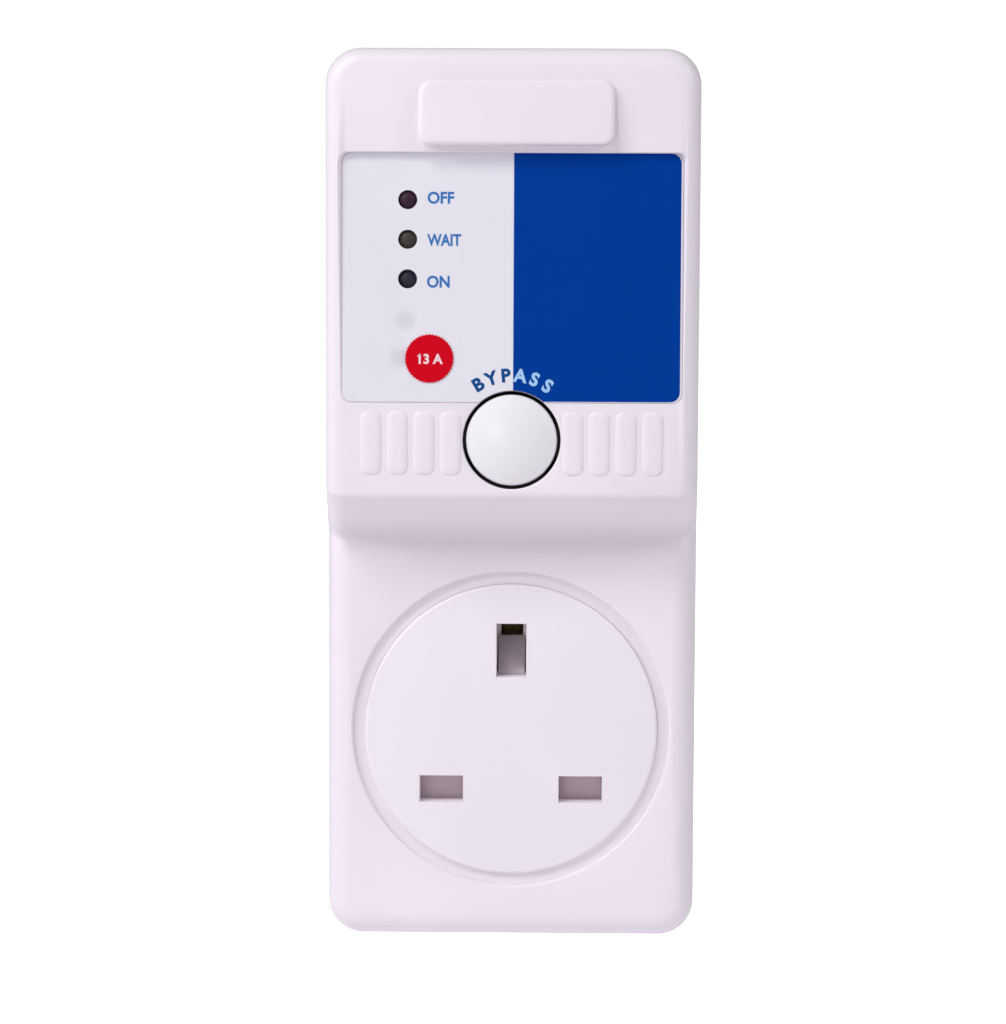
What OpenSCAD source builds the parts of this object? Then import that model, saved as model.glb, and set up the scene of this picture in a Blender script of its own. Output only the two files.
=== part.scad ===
// Plug-through voltage protector with one 13 A socket, in millimetres.
// The wall face is the plane y = 0 and the front looks along -Y. The origin is on the wall face,
// on the axis of the socket. +X is to the right as seen from the front, +Z is up.

/* [Case] */
// Width of the case at the joint between its two shells
case_w = 60; // [59:0.5:66]
// Height of the case at the joint between its two shells
case_h = 142.7; // [140:0.1:150]
// Height of the socket's axis above the lower side of the case
foot_h = 34.3; // [33:0.1:38]
// Depth from the wall face to the socket plate
low_depth = 33; // [33:0.5:38]
// How far the control hood stands out from the socket plate
step_depth = 10; // [9:0.5:13]
// Depth of the rear shell
rear_depth = 12; // [11.5:0.5:13]
// Wall thickness of the front shell
case_wall = 2.2; // [2:0.1:2.4]
// Thickness of the rear shell's wall
rear_wall = 2.5; // [2.2:0.1:2.6]
// Radius of the case's corners as seen from the front
corner_r = 5.6; // [5:0.1:7]
// Rounding of the socket plate's front edge
plate_edge_r = 3.5; // [3:0.1:4]
// Rounding of the hood's front edge
hood_edge_r = 2.8; // [2.5:0.1:3.2]
// Rounding of the edge that lies near the wall
rear_edge_r = 1.5; // [0.8:0.1:2]

/* [Hood] */
// Height of the chin's foot above the socket's axis
chin_z = 30.8; // [30.5:0.1:32]
// Height of the slope between the socket plate and the hood's front
chin_h = 7.2; // [6:0.1:8]
// Width of the raised name pad
pad_w = 29.8; // [20:0.5:34]
// Height of the raised name pad
pad_h = 10.3; // [8:0.1:12]
// How far the name pad's lower edge stands out
pad_lift = 2; // [1:0.1:2.5]
// Number of grip ribs on each side of the button
rib_count = 4; // [1:1:4]
// Width of a grip rib
rib_w = 3.2; // [2:0.1:3.4]
// Height of a grip rib
rib_h = 9.9; // [6:0.1:10.5]
// Distance from one grip rib to the next
rib_pitch = 4.13; // [4:0.01:4.2]

/* [Label] */
// Width of the hood's margin on each side of the front label
label_side = 3.7; // [3:0.1:4.5]
// Height of the front label
label_h = 38.4; // [36:0.2:39]
// Thickness of the label film
label_t = 0.25; // [0.2:0.05:0.35]
// Depth of the label's recess at its upper edge
recess_depth = 1.2; // [0.8:0.1:1.3]
// Radius of the label's corners
label_corner_r = 1.5; // [0.5:0.1:3]
// Diameter of the round rating sticker
sticker_d = 7.7; // [6:0.1:8]

/* [Bypass button] */
// Height of the button's axis above the chin's foot
button_up = 16.2; // [16.2:0.1:17]
// Diameter of the button
button_d = 14.1; // [13:0.1:14.4]
// Diameter of the button's hole in the hood
button_hole_d = 15.1; // [15:0.1:15.4]
// How far the button presses in
button_travel = 2; // [1.5:0.1:2]
// How far the middle of the button stands out from the hood
button_crown = 1.5; // [1:0.1:2]

/* [Lamps] */
// Diameter of an indicator lamp
lamp_d = 3; // [2.6:0.1:3.1]
// Distance from one lamp to the next
lamp_pitch = 6.1; // [5.6:0.1:6.4]
// Distance of the lamps from the label's left edge
lamp_inset = 10.1; // [9.9:0.1:10.4]

/* [Socket face] */
// Diameter of the socket face's visible disc
disc_d = 46.7; // [46:0.1:47.4]
// Width of the ring groove round the disc
ring_w = 1.75; // [1.4:0.05:2.1]
// Depth of the ring groove
groove_depth = 0.8; // [0.5:0.1:1.2]
// Distance of the line and neutral pins from the middle, half of 22.23 mm
pin_x = 11.115; // [11.115:0.001:11.115]
// Distance of the line and neutral pins below the socket's axis
pin_low_z = 9.53; // [9.53:0.01:9.53]
// Distance from the line and neutral pins up to the earth pin
pin_rise = 22.23; // [22.23:0.01:22.23]
// Width of the line and neutral apertures
slot_w = 6.9; // [6.8:0.05:7.2]
// Height of the line and neutral apertures
slot_h = 4.4; // [4.3:0.05:4.6]
// Width of the earth aperture
earth_slot_w = 4.7; // [4.6:0.05:4.8]
// Height of the earth aperture
earth_slot_h = 8.4; // [8.3:0.05:8.8]

/* [Contact block] */
// Depth of the contact carrier behind the socket face
carrier_d = 16.3; // [16:0.1:16.5]
// Thickness of the carrier's cover
cover_t = 1.5; // [1.2:0.1:1.8]
// Thickness of the brass contacts
contact_t = 0.8; // [0.6:0.05:0.9]

/* [Shutter] */
// How far the earth pin pushes the shutter down
shutter_travel = 5.4; // [5.2:0.1:5.5]
// Thickness of the shutter plate
shutter_t = 1.6; // [1.4:0.1:1.7]

/* [Plug pins] */
// Width of a line or neutral pin
live_pin_w = 6.35; // [6.35:0.01:6.35]
// Height of the earth pin
earth_pin_h = 7.92; // [7.92:0.01:7.92]
// Thickness of every pin
pin_t = 3.97; // [3.97:0.01:3.97]
// Length of the line and neutral pins beyond the wall face
live_pin_l = 17.7; // [17.2:0.1:18.2]
// Length of the earth pin beyond the wall face
earth_pin_l = 22.73; // [22.23:0.01:23.23]
// Length of the insulating sleeves
sleeve_l = 9.5; // [9:0.1:9.5]

/* [Circuit board] */
// Space between the hood's front wall and the board
board_gap = 8.3; // [8.3:0.1:8.6]
// Space between each side of the circuit board and the case's widest outline
board_side = 5; // [4.8:0.1:5.2]
// Thickness of the circuit board
board_t = 1.6; // [1.4:0.1:1.7]
// Width and height of the transformer's iron core
core_size = 30; // [28:0.5:30]
// Length of the transformer's iron core
core_l = 26; // [24:0.5:26]
// Thickness of the transformer's iron core
core_t = 12.5; // [11:0.1:13]
// Turn of the relay's armature when its coil pulls
armature_turn = 4; // [2:0.5:4]

/* [Hidden] */
$fn = 48;

// Colours
case_white = [0.91, 0.89, 0.93];
face_white = [0.93, 0.91, 0.94];
inner_white = [0.88, 0.88, 0.86];
label_white = [0.93, 0.92, 0.96];
print_blue = [0.02, 0.24, 0.60];
sticker_red = [0.80, 0.05, 0.14];
brass = [0.80, 0.66, 0.32];
steel = [0.72, 0.73, 0.75];
board_green = [0.10, 0.38, 0.22];
copper = [0.72, 0.40, 0.20];

// Shared small sizes
// Length by which a cut runs past the faces that it opens
over = 0.5;
// Thickness of the thin slices between which rounded blocks are stretched
thin = 0.01;
// Clearance between still pieces that slip together
slip = 0.2;
// Clearance between a still and a moving piece
run_gap = 0.3;
// Inset that keeps the sides of stacked blocks apart
nest = 0.05;
// Sideways lean of the front shell's sides for each millimetre of depth
draft_share = 0.035;

// Depths of the main planes
y_joint = -rear_depth;
y_plate = -low_depth;
y_hood = y_plate - step_depth;
z_low = -foot_h;
z_top = case_h - foot_h;
hood_inner_y = y_hood + case_wall;
plate_inner_y = y_plate + case_wall;

// How far the case's sides have leaned in at a depth
function lean(y) = draft_share * max(0, y_joint - y);
// The chin's height at a depth, on its outside
function chin_at(y) = chin_z + chin_h * (y_plate - y) / step_depth;
// The drop of the chin's inner surface that gives it the wall's thickness
chin_wall = case_wall * norm([chin_h, step_depth]) / step_depth;

// Label
label_w = case_w - 2 * label_side;
label_over_button = 5.9;
label_z = chin_z + button_up + label_over_button;
label_angle = atan((recess_depth - label_t) / label_h);
ink_t = label_t / 5;
label_margin = 0.15;
sticker_t = 0.15;
sticker_at = [-12.8, 6.7];
sticker_teeth = 48;
brow_h = 1.1;
pad_z = label_z + label_h + brow_h;
pad_x = 0.8;
pad_corner_r = 2;
pad_top_lift = 0.15;

// Button
button_z = chin_z + button_up;
rib_lift = 0.45;
rib_drop = 0.5;
rib_z = button_z - rib_drop;
rib_start = 1.92;
rib_first_x = button_hole_d / 2 + rib_start;
button_wall = 0.85;
cap_side_sink = 0.3;
cap_side_y = y_hood + cap_side_sink;
cap_skirt = 2.5;
cap_back_y = hood_inner_y + cap_skirt;
cap_roof_t = 0.5;
lug_w = 5;
lug_t = 1.2;
lug_reach = 1.3;
lug_gap = 0.4;
lug_y = hood_inner_y + lug_gap;
stem_r = 2;
button_spring_inset = 1.2;
button_spring_r = button_d / 2 - button_wall - button_spring_inset;
button_spring_wire_r = 0.25;
button_spring_turns = 4;

// Circuit board
board_w = case_w - 2 * board_side;
board_y = hood_inner_y + board_gap;
board_back_y = board_y + board_t;
board_over_chin = 7.7;
board_z = chin_z + board_over_chin;
board_under_top = 11.9;
board_top_z = z_top - board_under_top;
board_corner_r = 1;
board_screw_inset = 3;
board_screw_x = board_w / 2 - board_screw_inset;
board_screw_drop = 4.5;
board_screw_high_z = board_top_z - board_screw_drop;
board_screw_rise = 25.7;
board_screw_low_z = board_z + board_screw_rise;
board_boss_r = 2.6;
board_screw_r = 1.05;
board_screw_head_r = 1.9;
board_screw_head_t = 1.5;
board_screw_l = 7;
thread_gap = 0.05;
slot_cut_w = 0.5;
slot_cut_depth = 0.6;

// Push switch
switch_size = 6;
switch_h = 3.4;
switch_floor = 0.5;
plunger_r = 1.6;
plunger_gap = 0.06;
plunger_out = button_travel + run_gap;
plunger_in = 0.7;

// Lamps
lamp_x = label_w / 2 - lamp_inset;
lamp_over_label = 31.2;
lamp_z = label_z + lamp_over_label;
lamp_sink = 0.55;
lamp_l = 5.3;
lamp_flange_r = 1.9;
lamp_flange_t = 1;
lamp_hole_r = lamp_d / 2 + slip / 2;
lamp_tip_y = y_hood + lamp_sink;
lamp_base_y = lamp_tip_y + lamp_l;
spacer_r = 2.5;
spacer_bore_r = 1.8;
lead_r = 0.25;
lead_x = 1.27;
lead_out = 1;

// Socket face
hole_r = disc_d / 2 + slip;
flange_t = 1.5;
flange_r = hole_r + flange_t;
face_back_y = plate_inner_y + flange_t;
boss_at = [14, 13.5];
boss_r = 2.6;
boss_l = 5;
pin_z = -pin_low_z;
earth_z = pin_z + pin_rise;

// Shutter and its pocket
pocket_y = face_back_y + slip + shutter_t + slip;
shutter_side = 1.035;
shutter_half_w = pin_x + slot_w / 2 + shutter_side;
shutter_top_z = earth_z - earth_pin_h / 2 - slip / 2;
shutter_rim = 1;
shutter_low_z = pin_z - slot_h / 2 - shutter_rim;
window_w = slot_w + 2 * slip;
window_h = slot_h + slip;
cam_half_w = 2.1;
cam_depth = shutter_travel;
foot_half_w = 2.2;
foot_size_z = 1.2;
spring_r = 1.4;
spring_wire_r = 0.18;
spring_turns = 6;
spring_space = 8;
channel_y = face_back_y + 2 * (spring_r + spring_wire_r + slip);
pocket_low_z = shutter_low_z - shutter_travel - run_gap;
channel_low_z = shutter_low_z - spring_space;

// Contact block
carrier_side = 4.4;
carrier_half_w = shutter_half_w + carrier_side;
carrier_r = flange_r - thread_gap;
carrier_back_y = face_back_y + carrier_d;
cover_back_y = carrier_back_y + cover_t;
carrier_screw_r = 1.3;
carrier_screw_head_r = 2.3;
carrier_screw_head_t = 1.4;
carrier_screw_bite = 5;
carrier_seat_y = face_back_y + boss_l + carrier_screw_bite;
grip_gap = 0.2;
contact_space = 0.4;
earth_cavity_half_w = pin_t / 2 - grip_gap + contact_t + contact_space;
live_pocket = [8.4, 7.4];
pocket_wall = 1;
live_pocket_y = pocket_y + pocket_wall;
lip_l = 1.6;
lip_angle = 18;
contact_w = 6;
earth_contact_l = 10;
earth_contact_y = carrier_back_y - earth_contact_l;
tail_gap = 2.5;
pin_end_y = cover_back_y + tail_gap;
strap_t = 0.8;
wire_window = 3.4;

// Plug pins
shoulder_t = 2;
shoulder_rim = 1.3;
clamp_t = 2.2;
clamp_front_y = -rear_wall - shoulder_t - clamp_t;
clamp_back_y = -rear_wall - shoulder_t;
pin_fit = 0.1;
sleeve_t = 0.7;
pin_nose = 0.9;
clamp_corner_r = 3;
clamp_rim = 4.71;
clamp_half_w = pin_x + live_pin_w / 2 + clamp_rim;
clamp_under_pins = 5.2;
clamp_low_z = pin_z - clamp_under_pins;
clamp_over_earth = 7;
clamp_top_z = earth_z + clamp_over_earth;
clamp_screw_at = [14, 5];
clamp_boss_r = 2.7;
clamp_screw_l = 5;

// Case screws
case_screw_inset = 6.5;
case_screw_x = case_w / 2 - case_screw_inset;
case_screw_low_rise = 6;
case_screw_low_z = z_low + case_screw_low_rise;
case_screw_high_drop = 6.5;
case_screw_high_z = z_top - case_screw_high_drop;
case_screw_r = 1.45;
case_screw_l = 14;
case_screw_head_r = 2.8;
case_screw_head_t = 2;
head_sink = 3.6;
case_boss_r = 3.3;
rear_boss_r = 4.2;
lip_t = 1;
lip_h = 1.6;
pillar_r = 2.2;
pillar_x = 15;
pillar_high_z = 12.5;
pillar_low_z = -10;
pillar_at = [[pillar_x, pillar_high_z], [-pillar_x, pillar_high_z], [0, pillar_low_z]];

// Transformer
core_rise = 27.5;
core_at_z = board_z + core_rise + core_size / 2;
leg_t = core_size / 6;
yoke_t = core_size / 6;
bobbin_t = 0.8;
bobbin_fit = 0.1;
winding_t = 3.4;
winding_sink = 0.6;
bobbin_flange = winding_t + winding_sink;
bobbin_leg_rise = 1.5;
core_y = board_back_y + core_t / 2 + bobbin_fit + bobbin_t + bobbin_flange;
window_l = core_l - 2 * yoke_t;

// Relay, as width, height and depth
relay_size = [15.5, 19, 15.3];
relay_inset = 2.75;
relay_under_core = 4;
relay_at = [board_w / 2 - relay_inset - relay_size.x / 2,
    board_z + core_rise - relay_under_core - relay_size.y / 2];
relay_base_t = 1.5;
relay_wall = 0.8;
coil_r = 3.8;
coil_l = 9;
coil_flange_t = 0.7;
pole_r = 1.5;
pole_out = 0.4;
pole_gap = 0.8;
yoke_plate_t = 1;
yoke_w = 8;
armature_t = 0.8;
armature_w = 7;
armature_l = 12.6;
armature_lift = 0.2;
contact_rivet_r = 1.2;
contact_rivet_t = 0.4;
contact_open = 1;

// Other board components: places as x and the height above the board's lower edge
film_size = [17.5, 6, 13];
film_inset = 5.75;
film_under_core = 3.5;
film_at = [film_inset + film_size.x / 2 - board_w / 2,
    core_rise - film_under_core - film_size.y / 2];
smoothing_r = 5;
smoothing_l = 16;
smoothing_inset = 3;
smoothing_gap = 1.5;
smoothing_at = [smoothing_inset + smoothing_r - board_w / 2,
    film_at.y - film_size.y / 2 - smoothing_gap - smoothing_r];
timing_r = 3.15;
timing_l = 11;
timing_shift = 8;
timing_drop = 4;
timing_at = smoothing_at + [timing_shift, -timing_drop];
varistor_r = 5;
varistor_t = 4;
varistor_stand = 1.5;
varistor_gap = 1.25;
varistor_at = [film_at.x + film_size.x / 2 + varistor_gap + varistor_t / 2, film_at.y];
part_lift = 0.3;
chip_size = [6.4, 9.6, 3.2];
chip_socket_h = 1.6;
chip_inset = 11;
chip_rise = 33;
chip_at = [board_w / 2 - chip_inset, chip_rise];
transistor_r = 2.3;
transistor_l = 4.6;
transistor_x = -2;
transistor_rise = 29;
transistor_pitch = 6;
transistor_at = [for (i = [0, 1]) [transistor_x, transistor_rise + i * transistor_pitch]];
diode_r = 1.35;
diode_l = 5;
diode_x = 12.5;
diode_rise = 21;
diode_pitch = 4;
diode_at = [for (side = [-1, 1], i = [0, 1]) [side * diode_x, diode_rise + i * diode_pitch]];
resistor_r = 1.15;
resistor_l = 6.2;
resistor_shift = 15;
resistor_rise = 41;
resistor_pitch = 3.5;
resistor_at = [for (side = [0, 1], i = [0:3])
    [side * resistor_shift, resistor_rise + i * resistor_pitch]];
leg_r = 0.3;
leg_out = 1;

// Wires: the pins' side and the socket's side, and the way up to the board
wire_r = 1.1;
wire_y = clamp_front_y - wire_r - slip;
wire_out_y = (cover_back_y + pin_end_y) / 2 - slip / 4;
wire_lane_x = 20.4;
wire_out_top_x = 12.5;
wire_turn_drop = 4;
wire_turn_z = chin_z - wire_turn_drop;
board_pad_rise = 2.3;
board_pad_z = board_z + board_pad_rise;
wire_bend_drop = 3;
wire_bend_y = -18.5;
wire_end_l = 4;
wire_sides = 8;
wire_steps = 4;

// A box between two opposite corners
module span(low, high) {
    translate(low) cube(high - low);
}

// A flat outline in x and z made into a slab between two depths
module slab(y_front, y_back) {
    translate([0, y_back, 0]) rotate([90, 0, 0]) linear_extrude(y_back - y_front) children();
}

// A flat outline in y and z made into a slab between two places along x
module side_slab(x_low, x_high) {
    translate([x_low, 0, 0]) rotate([90, 0, 90]) linear_extrude(x_high - x_low) children();
}

// A round rod along the depth
module rod(x, z, r, y_front, y_back) {
    translate([x, y_back, z]) rotate([90, 0, 0]) cylinder(h = y_back - y_front, r = r);
}

// A flat rectangle with rounded corners
module round_rect(low, high, r) {
    translate([low.x + r, low.y]) square([high.x - low.x - 2 * r, high.y - low.y]);
    translate([low.x, low.y + r]) square([high.x - low.x, high.y - low.y - 2 * r]);
    for (x = [low.x + r, high.x - r], y = [low.y + r, high.y - r]) translate([x, y]) circle(r);
}

// A flat rectangle about a centre
module rect_at(centre, size) {
    translate(centre - size / 2) square(size);
}

// A disc whose front edge is rounded, drawn round the origin with its back on y = 0
module soft_disc(r, edge) {
    rotate([90, 0, 0]) rotate_extrude($fn = 32) {
        square([r - edge, edge]);
        translate([r - edge, 0]) intersection() {
            circle(edge);
            square(edge);
        }
    }
}

// A block with rounded corners and a rounded front edge. back and front are lists of half
// width, lower side and upper side, at the block's back and where the edge rounding begins.
module soft_block(back, front, y_back, y_front, corner, edge) {
    hull() for (side = [-1, 1]) {
        for (z = [back[1] + corner, back[2] - corner])
            rod(side * (back[0] - corner), z, corner, y_back - thin, y_back, $fn = 32);
        for (z = [front[1] + corner, front[2] - corner])
            translate([side * (front[0] - corner), y_front + edge, z]) soft_disc(corner, edge);
    }
}

// The case's outline at a depth, drawn in by a wall: half width, lower side, upper side
function outline_at(y, wall) =
    [case_w / 2 - lean(y) - wall, z_low + lean(y) + wall, z_top - lean(y) - wall];
// The hood's outline at a depth, drawn in by a wall, with the chin as its lower side
function hood_at(y, wall, rise) =
    [case_w / 2 - lean(y) - wall, chin_at(y) + rise, z_top - lean(y) - wall];

// The outer form of the front shell without its pad and ribs, or its inner space
module front_form(wall, rise, edge_low, edge_hood, y_back) {
    low_front = y_plate + wall;
    hood_front = y_hood + wall;
    root = low_front + edge_low + case_wall;
    soft_block(outline_at(y_joint, wall), outline_at(low_front + edge_low, wall),
        y_back, low_front, corner_r - wall, edge_low);
    soft_block(hood_at(root, wall + nest, rise), hood_at(hood_front + edge_hood, wall + nest, rise),
        root, hood_front, corner_r - wall, edge_hood);
}

// Puts a flat outline on the label's sloping floor, with y as the height off that floor
module on_label() {
    translate([0, y_hood + label_t, label_z]) rotate([-label_angle, 0, 0]) children();
}

// The label's outline, drawn out by a margin
module label_outline(margin) {
    round_rect([-label_w / 2 - margin, -margin], [label_w / 2 + margin, label_h + margin],
        label_corner_r + margin);
}

module name_pad() {
    low = [pad_x - pad_w / 2, pad_z];
    high = low + [pad_w, pad_h];
    intersection() {
        slab(y_hood - pad_lift - over, y_hood + case_wall / 2)
            round_rect(low, high, pad_corner_r);
        side_slab(low.x - over, high.x + over) polygon([
            [y_hood + case_wall, low.y - over], [y_hood - pad_lift, low.y - over],
            [y_hood - pad_top_lift, high.y + over], [y_hood + case_wall, high.y + over]]);
    }
}

// One rib with round ends
module rib(x) {
    slab(y_hood - rib_lift, y_hood + case_wall / 2) translate([x, rib_z]) {
        rect_at([0, 0], [rib_w, rib_h - rib_w]);
        for (side = [-1, 1]) translate([0, side * (rib_h - rib_w) / 2]) circle(rib_w / 2);
    }
}

// Places round things at the four corners that hold the case together
module at_case_screws() {
    for (side = [-1, 1], z = [case_screw_low_z, case_screw_high_z])
        translate([side * case_screw_x, 0, z]) children();
}

module at_board_screws() {
    for (side = [-1, 1], z = [board_screw_low_z, board_screw_high_z])
        translate([side * board_screw_x, 0, z]) children();
}

module front_shell() {
    color(case_white) difference() {
        union() {
            difference() {
                union() {
                    front_form(0, 0, plate_edge_r, hood_edge_r, y_joint);
                    name_pad();
                    for (side = [-1, 1], i = [0:rib_count - 1])
                        rib(side * (rib_first_x + i * rib_pitch));
                }
                front_form(case_wall, chin_wall, plate_edge_r - case_wall,
                    hood_edge_r - case_wall + thin, y_joint + over);
            }
            intersection() {
                at_case_screws() rod(0, 0, case_boss_r, y_hood, y_joint);
                union() {
                    span([-case_w, plate_inner_y - case_wall / 2, z_low],
                        [case_w, y_joint, chin_z]);
                    span([-case_w, hood_inner_y - case_wall / 2, chin_z], [case_w, y_joint, z_top]);
                }
            }
            at_board_screws() rod(0, 0, board_boss_r, hood_inner_y - case_wall / 4, board_y);
        }
        at_case_screws() rod(0, 0, case_screw_r + thread_gap,
            -head_sink - case_screw_l - over, y_joint + over);
        at_board_screws() rod(0, 0, board_screw_r + thread_gap,
            board_back_y - board_screw_l - over, board_y + over);
        rod(0, 0, hole_r, y_plate - over, plate_inner_y + over);
        rod(0, 0, disc_d / 2 + ring_w, y_plate - over, y_plate + groove_depth);
        rod(0, button_z, button_hole_d / 2, y_hood - over, hood_inner_y + over);
        for (i = [0:2]) rod(-lamp_x, lamp_z - i * lamp_pitch, lamp_hole_r,
            y_hood - over, hood_inner_y + over);
        on_label() slab(-recess_depth - over, 0) label_outline(label_margin);
    }
}

module rear_shell() {
    half = case_w / 2;
    lean_back = draft_share * rear_depth;
    color(case_white) difference() {
        union() {
            difference() {
                mirror([0, 1, 0]) soft_block([half, z_low, z_top],
                    [half - lean_back, z_low + lean_back, z_top - lean_back],
                    rear_depth, 0, corner_r, rear_edge_r);
                slab(y_joint - over, -rear_wall)
                    round_rect([-half + case_wall + lean_back, z_low + case_wall + lean_back],
                        [half - case_wall - lean_back, z_top - case_wall - lean_back],
                        corner_r - case_wall);
            }
            intersection() {
                at_case_screws() rod(0, 0, rear_boss_r, y_joint, -rear_wall / 2);
                slab(y_joint - over, 0)
                    round_rect([-half + case_wall / 2, z_low + case_wall / 2],
                        [half - case_wall / 2, z_top - case_wall / 2], corner_r - case_wall / 2);
            }
            difference() {
                slab(y_joint - lip_h, -rear_wall)
                    round_rect([-half + case_wall + slip + lip_h * draft_share,
                            z_low + case_wall + slip + lip_h * draft_share],
                        [half - case_wall - slip - lip_h * draft_share,
                            z_top - case_wall - slip - lip_h * draft_share],
                        corner_r - case_wall);
                slab(y_joint - lip_h - over, -rear_wall + over)
                    round_rect([-half + case_wall + slip + lip_t, z_low + case_wall + slip + lip_t],
                        [half - case_wall - slip - lip_t, z_top - case_wall - slip - lip_t],
                        corner_r - case_wall - lip_t / 2);
                at_case_screws() rod(0, 0, case_boss_r + slip, y_joint - lip_h - over, y_joint);
            }
            for (at = pillar_at) rod(at.x, at.y, pillar_r, cover_back_y, -rear_wall / 2);
            for (side = [-1, 1])
                rod(side * clamp_screw_at.x, clamp_screw_at.y, clamp_boss_r, clamp_back_y,
                    -rear_wall / 2);
        }
        at_case_screws() rod(0, 0, case_screw_head_r + slip, -head_sink, over);
        at_case_screws() rod(0, 0, case_screw_r + slip, y_joint - over, 0);
        for (side = [-1, 1])
            rod(side * clamp_screw_at.x, clamp_screw_at.y, board_screw_r + thread_gap,
                clamp_back_y - over, clamp_front_y + clamp_screw_l);
        slab(-rear_wall - over, over) {
            for (side = [-1, 1])
                rect_at([side * pin_x, pin_z], [live_pin_w + 2 * pin_fit, pin_t + 2 * pin_fit]);
            rect_at([0, earth_z], [pin_t + 2 * pin_fit, earth_pin_h + 2 * pin_fit]);
        }
    }
}

// The three apertures, drawn out by a margin
module apertures(margin) {
    for (side = [-1, 1])
        rect_at([side * pin_x, pin_z], [slot_w + 2 * margin, slot_h + 2 * margin]);
    rect_at([0, earth_z], [earth_slot_w + 2 * margin, earth_slot_h + 2 * margin]);
}

module socket_faceplate() {
    color(face_white) difference() {
        union() {
            rod(0, 0, disc_d / 2, y_plate, face_back_y);
            rod(0, 0, flange_r, plate_inner_y, face_back_y);
            for (side = [-1, 1])
                rod(side * boss_at.x, boss_at.y, boss_r, plate_inner_y, face_back_y + boss_l);
        }
        slab(y_plate - over, face_back_y + over) apertures(0);
        for (side = [-1, 1])
            rod(side * boss_at.x, boss_at.y, carrier_screw_r + thread_gap, plate_inner_y,
                face_back_y + boss_l + over);
    }
}

module front_label() {
    color(label_white) difference() {
        on_label() slab(-label_t, 0) label_outline(0);
        rod(0, button_z, button_hole_d / 2 + label_margin, y_hood - over, y_hood + over);
        for (i = [0:2]) rod(-lamp_x, lamp_z - i * lamp_pitch, lamp_hole_r, y_hood - over,
            hood_inner_y);
    }
}

module label_print() {
    color(print_blue) difference() {
        on_label() slab(-label_t - ink_t, -label_t) intersection() {
            label_outline(0);
            translate([label_margin, 0]) square([label_w, label_h]);
        }
        rod(0, button_z, button_hole_d / 2 + label_margin, y_hood - over, y_hood + over);
    }
}

// Points of a circle with small teeth
function toothed(r, tooth, count) = [for (i = [0:2 * count - 1])
    let (a = 180 * i / count, reach = r - (i % 2) * tooth) reach * [cos(a), sin(a)]];

module rating_sticker() {
    color(sticker_red) on_label() slab(-label_t - sticker_t, -label_t)
        translate(sticker_at) polygon(toothed(sticker_d / 2, sticker_d / 60, sticker_teeth));
}

module bypass_button() {
    r = button_d / 2;
    dome_r = (r * r + pow(button_crown + cap_side_y - y_hood, 2)) /
        (2 * (button_crown + cap_side_y - y_hood));
    color(face_white) {
        difference() {
            union() {
                rod(0, button_z, r, cap_side_y, cap_back_y);
                intersection() {
                    rod(0, button_z, r, y_hood - button_crown - over, cap_back_y);
                    translate([0, y_hood - button_crown + dome_r, button_z]) sphere(dome_r);
                }
                slab(lug_y, lug_y + lug_t)
                    rect_at([0, button_z], [2 * (r + lug_reach), lug_w]);
            }
            rod(0, button_z, r - button_wall, cap_side_y + cap_roof_t, cap_back_y + over);
        }
        rod(0, button_z, stem_r, cap_side_y + cap_roof_t / 2, board_y - switch_h - plunger_out);
    }
}

module switch_plunger() {
    color([0.15, 0.15, 0.16]) rod(0, button_z, plunger_r, board_y - switch_h - plunger_out,
        board_y - switch_h + plunger_in);
}

module push_switch_body() {
    half = switch_size / 2;
    color([0.2, 0.2, 0.22]) difference() {
        union() {
            slab(board_y - switch_h, board_y) rect_at([0, button_z], [switch_size, switch_size]);
            for (x = [-1, 1], z = [-1, 1])
                rod(x * half * 0.8, button_z + z * half * 0.7, leg_r, board_y - leg_out,
                    board_back_y + leg_out);
        }
        rod(0, button_z, plunger_r + plunger_gap, board_y - switch_h - over,
            board_y - switch_floor);
    }
}

// A tube swept along a path, with its sides set out from a direction that the path never takes
function unit(v) = v / norm(v);
function heading(path, i) =
    unit(path[min(i + 1, len(path) - 1)] - path[max(i - 1, 0)]);
function ring(centre, along, guide, r, sides) =
    let (a = unit(cross(along, guide)), b = cross(a, along))
    [for (k = [0:sides - 1]) centre + r * (cos(360 * k / sides) * a + sin(360 * k / sides) * b)];
module tube(path, r, sides, guide) {
    last = len(path) - 1;
    points = [for (i = [0:last]) each ring(path[i], heading(path, i), guide, r, sides)];
    walls = [for (i = [0:last - 1], k = [0:sides - 1])
        let (a = i * sides + k, b = i * sides + (k + 1) % sides)
        each [[a, b, b + sides], [a, b + sides, a + sides]]];
    start = [for (k = [sides - 1:-1:0]) k];
    end = [for (k = [0:sides - 1]) last * sides + k];
    polyhedron(points = points, faces = concat(walls, [start, end]), convexity = 4);
}

// A curve through points, with a number of steps from each point to the next
function spline_point(a, b, c, d, t) = 0.5 * (2 * b + (c - a) * t
    + (2 * a - 5 * b + 4 * c - d) * t * t + (3 * b - a - 3 * c + d) * t * t * t);
function curve(p, steps) = let (n = len(p) - 1) concat(
    [for (i = [0:n - 1], s = [0:steps - 1])
        spline_point(i == 0 ? 2 * p[0] - p[1] : p[i - 1], p[i], p[i + 1],
            i == n - 1 ? 2 * p[n] - p[n - 1] : p[i + 2], s / steps)],
    [p[n]]);

// A coil along +Z from the origin, between end planes that its wire keeps clear of
module coil(length, r, wire, turns, steps) {
    rise = length - 2 * wire - run_gap / 2;
    path = [for (i = [0:turns * steps])
        [r * cos(360 * i / steps), r * sin(360 * i / steps),
            wire + run_gap / 4 + rise * i / (turns * steps)]];
    tube(path, wire, 6, [0, 0, 1]);
}

module button_spring() {
    space = board_y - cap_side_y - cap_roof_t;
    color(steel) translate([0, board_y, button_z]) rotate([90, 0, 0])
        coil(space, button_spring_r, button_spring_wire_r, button_spring_turns, 16);
}

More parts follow.
